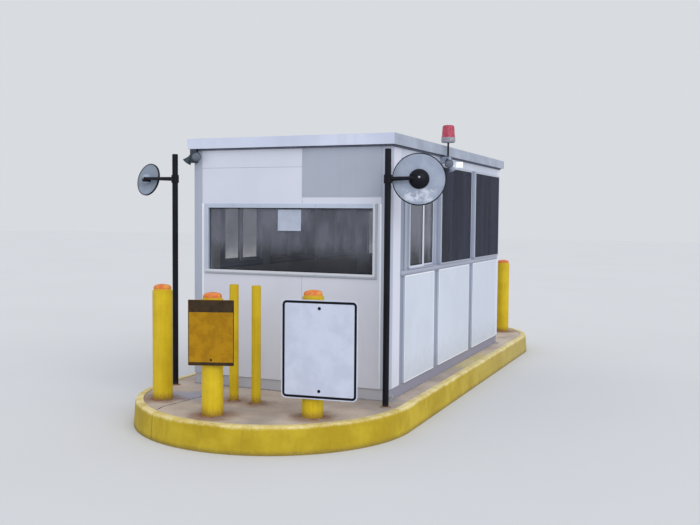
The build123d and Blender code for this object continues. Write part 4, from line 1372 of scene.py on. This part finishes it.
# %% Rings and glasses
GLASS_EDGE = HEAD_RADIUS - 0.004
GLASS_LIFT = 0.0006
RING = [(0.0405, 0.086), (0.0425, 0.0865), (0.0425, 0.0915), (0.0395, 0.0925), (0.0375, 0.0915)]
COLLAR = [(0.0178, 0.034), (0.0205, 0.034), (0.0205, 0.040), (0.0178, 0.042)]
cap = ball_cap(HEAD_RADIUS, HEAD_BULGE, GLASS_EDGE, 8)
glass = [(GLASS_EDGE, HEAD_LENGTH - SUNK)] + [(r, HEAD_LENGTH + rise + GLASS_LIFT) for r, rise in cap]
head_planes = [head_plane(*head) for head in heads]
lamp_glass = make_glass("lamp_glass", (104, 112, 128), 0.9, 0.2, (132, 140, 154))
add_piece("lamp_glasses", [turned(at, glass) for at in head_planes], lamp_glass)
lamp_rings = [turned(at, shape, 24, "loop") for shape in (RING, COLLAR) for at in head_planes]
add_piece("lamp_rings", lamp_rings, finishes["lamp_holder_paint"])

# %% [markdown]
# ## Roof sheets
# Seen from above, the roof is six sheets that meet in five low folded seams. The seams are
# rounded bars, and they stop short of the fascia so that water can run off. Lengths of fascia
# meet at narrow cover plates.

# %% Seams and cover plates
roof_low, roof_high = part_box("roof_panel")
SEAM_WIDTH = 0.026
SEAM_HEIGHT = 0.012
SEAM_ROOT = 0.006
SEAM_SHORT = 0.03
ROOF_SEAMS = 5
roof_top = level(MIDDLE_X, 0, roof_high.z - SEAM_ROOT)
half = (roof_high.x - roof_low.x) / 2 - SEAM_SHORT
roof_seams = []
for y in np.linspace(roof_low.y, roof_high.y, ROOF_SEAMS + 2)[1:-1]:
    low, high = y - SEAM_WIDTH / 2, y + SEAM_WIDTH / 2
    roof_seams.append(strip(roof_top, -half, half, low, high, -0.002, SEAM_ROOT + SEAM_HEIGHT, 0.005))
add_piece("roof_seams", roof_seams, finishes["weathered_roof_enamel"])

FASCIA_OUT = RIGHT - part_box("roof_fascia")[1].x
COVER = 0.03
COVER_SHORT = 0.002
COVER_RISE = 0.0014


def fascia_cover(side, x):
    """A narrow plate on the fascia, where two of its lengths meet."""
    plane = walls[side].moved(x, 0, -FASCIA_OUT)
    return strip(plane, -COVER, COVER, EAVE + COVER_SHORT, ROOF - COVER_SHORT, -SUNK, COVER_RISE)


joints = [FRONT + (REAR - FRONT) * share for share in (1 / 3, 2 / 3)]
covers = [fascia_cover("right", y) for y in joints] + [fascia_cover("left", -y) for y in joints]
covers += [fascia_cover("front", MIDDLE_X), fascia_cover("rear", -MIDDLE_X)]
add_piece("fascia_covers", covers, finishes["roof_edge_enamel"])

# %% [markdown]
# ## The door
# The door is at the back. It has a satin kick plate, a cylinder lock above the lever, a rubber
# seal round its glass and a drip strip over its frame.

# %% Door fittings
rear = walls["rear"]
door = on_wall("rear", *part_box("door_leaf"))
door_frame_box = on_wall("rear", *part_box("door_frame"))
handle = on_wall("rear", *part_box("door_handle"))
KICK_HEIGHT = 0.20
KICK_SIDE = 0.03
KICK_FOOT = 0.02
LOCK_INSET = 0.026
LOCK_SHAPE = [(0.014, 0.004), (0.014, 0.011), (0.012, 0.013)]
DRIP_HEIGHT = 0.018
DRIP_SIDE = 0.02
DRIP_OUT = 0.03
kick_low = door[2] + KICK_FOOT
kick_places = (door[0] + KICK_SIDE, door[1] - KICK_SIDE, kick_low, kick_low + KICK_HEIGHT)
kick = strip(rear, *kick_places, -SUNK, 0.0014)
add_piece("kick_plate", [kick], finishes["satin_steel"])

at_lock = rear.moved(handle[1] - LOCK_INSET, handle[3] - LOCK_INSET)
key_slot = strip(at_lock, -0.001, 0.001, -0.005, 0.005, 0.012, 0.0134, 0.0002)
add_piece("door_lock", [turned(at_lock, LOCK_SHAPE), key_slot], finishes["satin_steel"])

drip_low = door_frame_box[3]
drip_sides = (door_frame_box[0] - DRIP_SIDE, door_frame_box[1] + DRIP_SIDE)
drip = strip(rear, *drip_sides, drip_low, drip_low + DRIP_HEIGHT, -SUNK, DRIP_OUT, 0.004)
add_piece("door_drip_strip", [drip], finishes["window_frame_enamel"])

# %% [markdown]
# ## At the foot of the booth
# The base channel is bedded in a bead of sealant and held by small angle clips with anchor
# bolts. The bead is a quarter-round carried round the base.

# %% Sealant and anchor clips
base_low, base_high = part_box("base_frame")
base_middle = ground.moved((base_low.x + base_high.x) / 2, (base_low.y + base_high.y) / 2)
base_width, base_length = base_high.x - base_low.x, base_high.y - base_low.y
BEAD = 0.010
BASE_ROUND = 0.004
CLIP = 0.05
CLIP_THICK = 0.004
CLIP_SETBACK = -0.009
CLIP_HOLE = 0.034
CLIP_BOLT = 0.007
CLIP_FROM_END = 0.075


def round_base(inset, height):
    outline = rounded(base_width - 2 * inset, base_length - 2 * inset, BASE_ROUND)
    return base_middle.place(outline, height)


bead_outside = [(-BEAD, -SUNK), (-BEAD * 0.9, BEAD * 0.35), (-BEAD * 0.45, BEAD * 0.8)]
bead_profile = bead_outside + [(SUNK, BEAD), (SUNK, -SUNK)]
bead = loft([round_base(inset, height) for inset, height in bead_profile], "loop")
add_piece("base_sealant", [bead], finishes["grey_sealant"])


def clip(side, x):
    """An angle clip: one leg on the base, one on the slab, with a bolt through each."""
    wall = walls[side].moved(x, SLAB, CLIP_SETBACK)
    foot = Plane(wall.origin, -wall.right, wall.out)
    legs = ((wall, SUNK), (foot, 0.0))
    made = [strip(plane, -CLIP, CLIP, z0, CLIP, -SUNK, CLIP_THICK) for plane, z0 in legs]
    for plane in (wall, foot):
        made += hex_bolt(plane.moved(0, 0, CLIP_THICK), 0, CLIP_HOLE, CLIP_BOLT)
    return made


clips = []
for y in (FRONT + CLIP_FROM_END, REAR - CLIP_FROM_END):
    clips += clip("right", y) + clip("left", -y)
add_piece("anchor_clips", clips, finishes["galvanised_steel"])

# %% [markdown]
# ## The posts' feet
# Each post, yellow or black, comes out of a rough collar of grout. The collar's radius wavers
# with the turn: two sines of different counts are added to it, so no two sides are alike.

# %% Grout collars


def collar_ring(plane, radius, height, waver):
    turn = even_turn(36)
    waves = 0.6 * np.sin(3 * turn + radius * 40) + 0.4 * np.sin(7 * turn + 1.3)
    return plane.place(polar(radius * (1 + waver * waves), turn), height)


def grout(point, radius):
    """Rings of radius, height and waver, from the slab up to the post."""
    at = ground.moved(point[0], point[1])
    skirt = [(radius + 0.022, -0.002, 0.05), (radius + 0.018, 0.003, 0.05)]
    top = [(radius + 0.006, 0.007, 0.02), (radius * 0.9, 0.008, 0.0)]
    return loft([collar_ring(at, *ring) for ring in skirt + top])


def make_grout():
    material, place = start_material("rusty_grout")
    grain = clouds(place, 0.01, 4.0, 0.7)
    stain = fade(clouds(place, 0.06, 4.0, 0.6), 0.4, 0.6)
    colour = mixed(stain, (138, 122, 108), (134, 88, 58))
    colour = mixed(fade(grain, 0.4, 0.7) * 0.5, colour, (96, 80, 68))
    return end_material(material, colour, 0.9, grain, 0.002)


black_feet = feet_of("mirror_posts")
collars = [grout(point, radius) for point, radius in posts + black_feet]
add_piece("grout_collars", collars, make_grout())

# %% [markdown]
# ## The notice
# A blank sheet of paper hangs on the outside of the front window. It curls a little: its
# distance from the glass grows with the square of the height below its upper edge.

# %% A curled sheet
PAPER = (-0.059, 0.169, 1.642, 1.828)
PAPER_THICK = 0.0004
PAPER_GAP = 0.0012
PAPER_CURL = 0.005
pane_face = on_wall("front", *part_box("front_window_glass"))[5]


def paper_sheet():
    """A grid of points: across and up are even, and it stands out by the curl times the drop squared."""
    across = np.linspace(PAPER[0], PAPER[1], 13)
    up = np.linspace(PAPER[2], PAPER[3], 11)
    x, z = np.meshgrid(across, up)
    drop = (PAPER[3] - z) / (PAPER[3] - PAPER[2])
    out = pane_face + PAPER_GAP + PAPER_CURL * drop**2
    front_face = np.stack([x, FRONT - out, z], axis=-1)
    back_face = front_face + (0, PAPER_THICK, 0)
    return loft([np.concatenate([front, back[::-1]]) for front, back in zip(front_face, back_face)])


def make_paper():
    material, place = start_material("notice_paper")
    tone = clouds(place, 0.06, 3.0, 0.5)
    colour = mixed(fade(tone, 0.3, 0.7), (170, 178, 198), (178, 186, 206))
    return end_material(material, colour, 0.8, tone, 0.0005)


add_piece("blank_notice", [paper_sheet()], make_paper())

# %% [markdown]
# ## Floor, light and camera
# The object stands on a pale floor under a pale even sky. The sky lights it about evenly, and
# one broad soft sun from the right shapes it. The camera stands where the photograph was taken:
# its place, direction and focal length were solved from the booth's edges and the kerb.

# %% The floor
FLOOR_REACH = 60.0


def make_stage():
    mesh = bpy.data.meshes.new("stage_floor_mesh")
    signs = ((-1, -1), (1, -1), (1, 1), (-1, 1))
    corners = [(x * FLOOR_REACH, y * FLOOR_REACH, 0) for x, y in signs]
    mesh.from_pydata(corners, [], [(0, 1, 2, 3)])
    stage = bpy.data.objects.new("stage_floor", mesh)
    bpy.context.scene.collection.objects.link(stage)
    material, place = start_material("stage_paper")
    tone = clouds(place, 3.0)
    colour = mixed(tone, (196, 198, 202), (202, 204, 208))
    mesh.materials.append(end_material(material, colour, 0.95))


make_stage()

# %% The sky and the lamp
SKY_LIGHT = {"Color": (0.97, 0.98, 1.0, 1), "Strength": 0.96}
SKY_SHOWN = {"Color": (0.93, 0.96, 1.0, 1), "Strength": 0.74}


def make_world():
    world = bpy.data.worlds.new("pale_sky")
    bpy.context.scene.world = world
    world.use_nodes = True
    world.node_tree.nodes.clear()
    flow = Flow(world.node_tree)
    rays = ("Camera", "Glossy", "Transmission")
    pale = any_of(flow.node("ShaderNodeLightPath", output=f"Is {ray} Ray") for ray in rays)
    light = flow.node("ShaderNodeBackground", None, SKY_LIGHT)
    shown = flow.node("ShaderNodeBackground", None, SKY_SHOWN)
    surface = flow.node("ShaderNodeMixShader", None, {0: pale, 1: light, 2: shown})
    flow.node("ShaderNodeOutputWorld", None, {"Surface": surface})


def make_sun(name, towards, power, softness):
    data = bpy.data.lights.new(name, "SUN")
    data.energy = power
    data.angle = math.radians(softness)
    sun = bpy.data.objects.new(name, data)
    sun.rotation_euler = Vector(towards).to_track_quat("-Z", "Y").to_euler()
    bpy.context.scene.collection.objects.link(sun)


make_world()
make_sun("soft_sun", (-0.66, 0.52, -0.62), 1.2, 50)

# %% The camera
CAMERA_PLACE = Vector((3.5185, -8.956, 1.780))
CAMERA_YAW = math.radians(23.07)
CAMERA_PITCH = math.radians(3.11)
CAMERA_ROLL = math.radians(0.49)
FOCAL_PIXELS = 862.17
FRAME_PIXELS = 700
SENSOR = 36.0


def make_camera():
    """Look along +Y, turn left by the yaw, down by the pitch, and lean by the roll."""
    data = bpy.data.cameras.new("photo_camera")
    data.sensor_width = SENSOR
    data.lens = FOCAL_PIXELS / FRAME_PIXELS * SENSOR
    data.clip_end = 300
    camera = bpy.data.objects.new("photo_camera", data)
    turn = Matrix.Rotation(CAMERA_YAW, 4, "Z") @ Matrix.Rotation(math.pi / 2 - CAMERA_PITCH, 4, "X")
    lean = Matrix.Rotation(CAMERA_ROLL, 4, "Z")
    camera.matrix_world = Matrix.Translation(CAMERA_PLACE) @ turn @ lean
    bpy.context.scene.collection.objects.link(camera)
    bpy.context.scene.camera = camera


make_camera()
bpy.context.scene.view_settings.view_transform = "Standard"
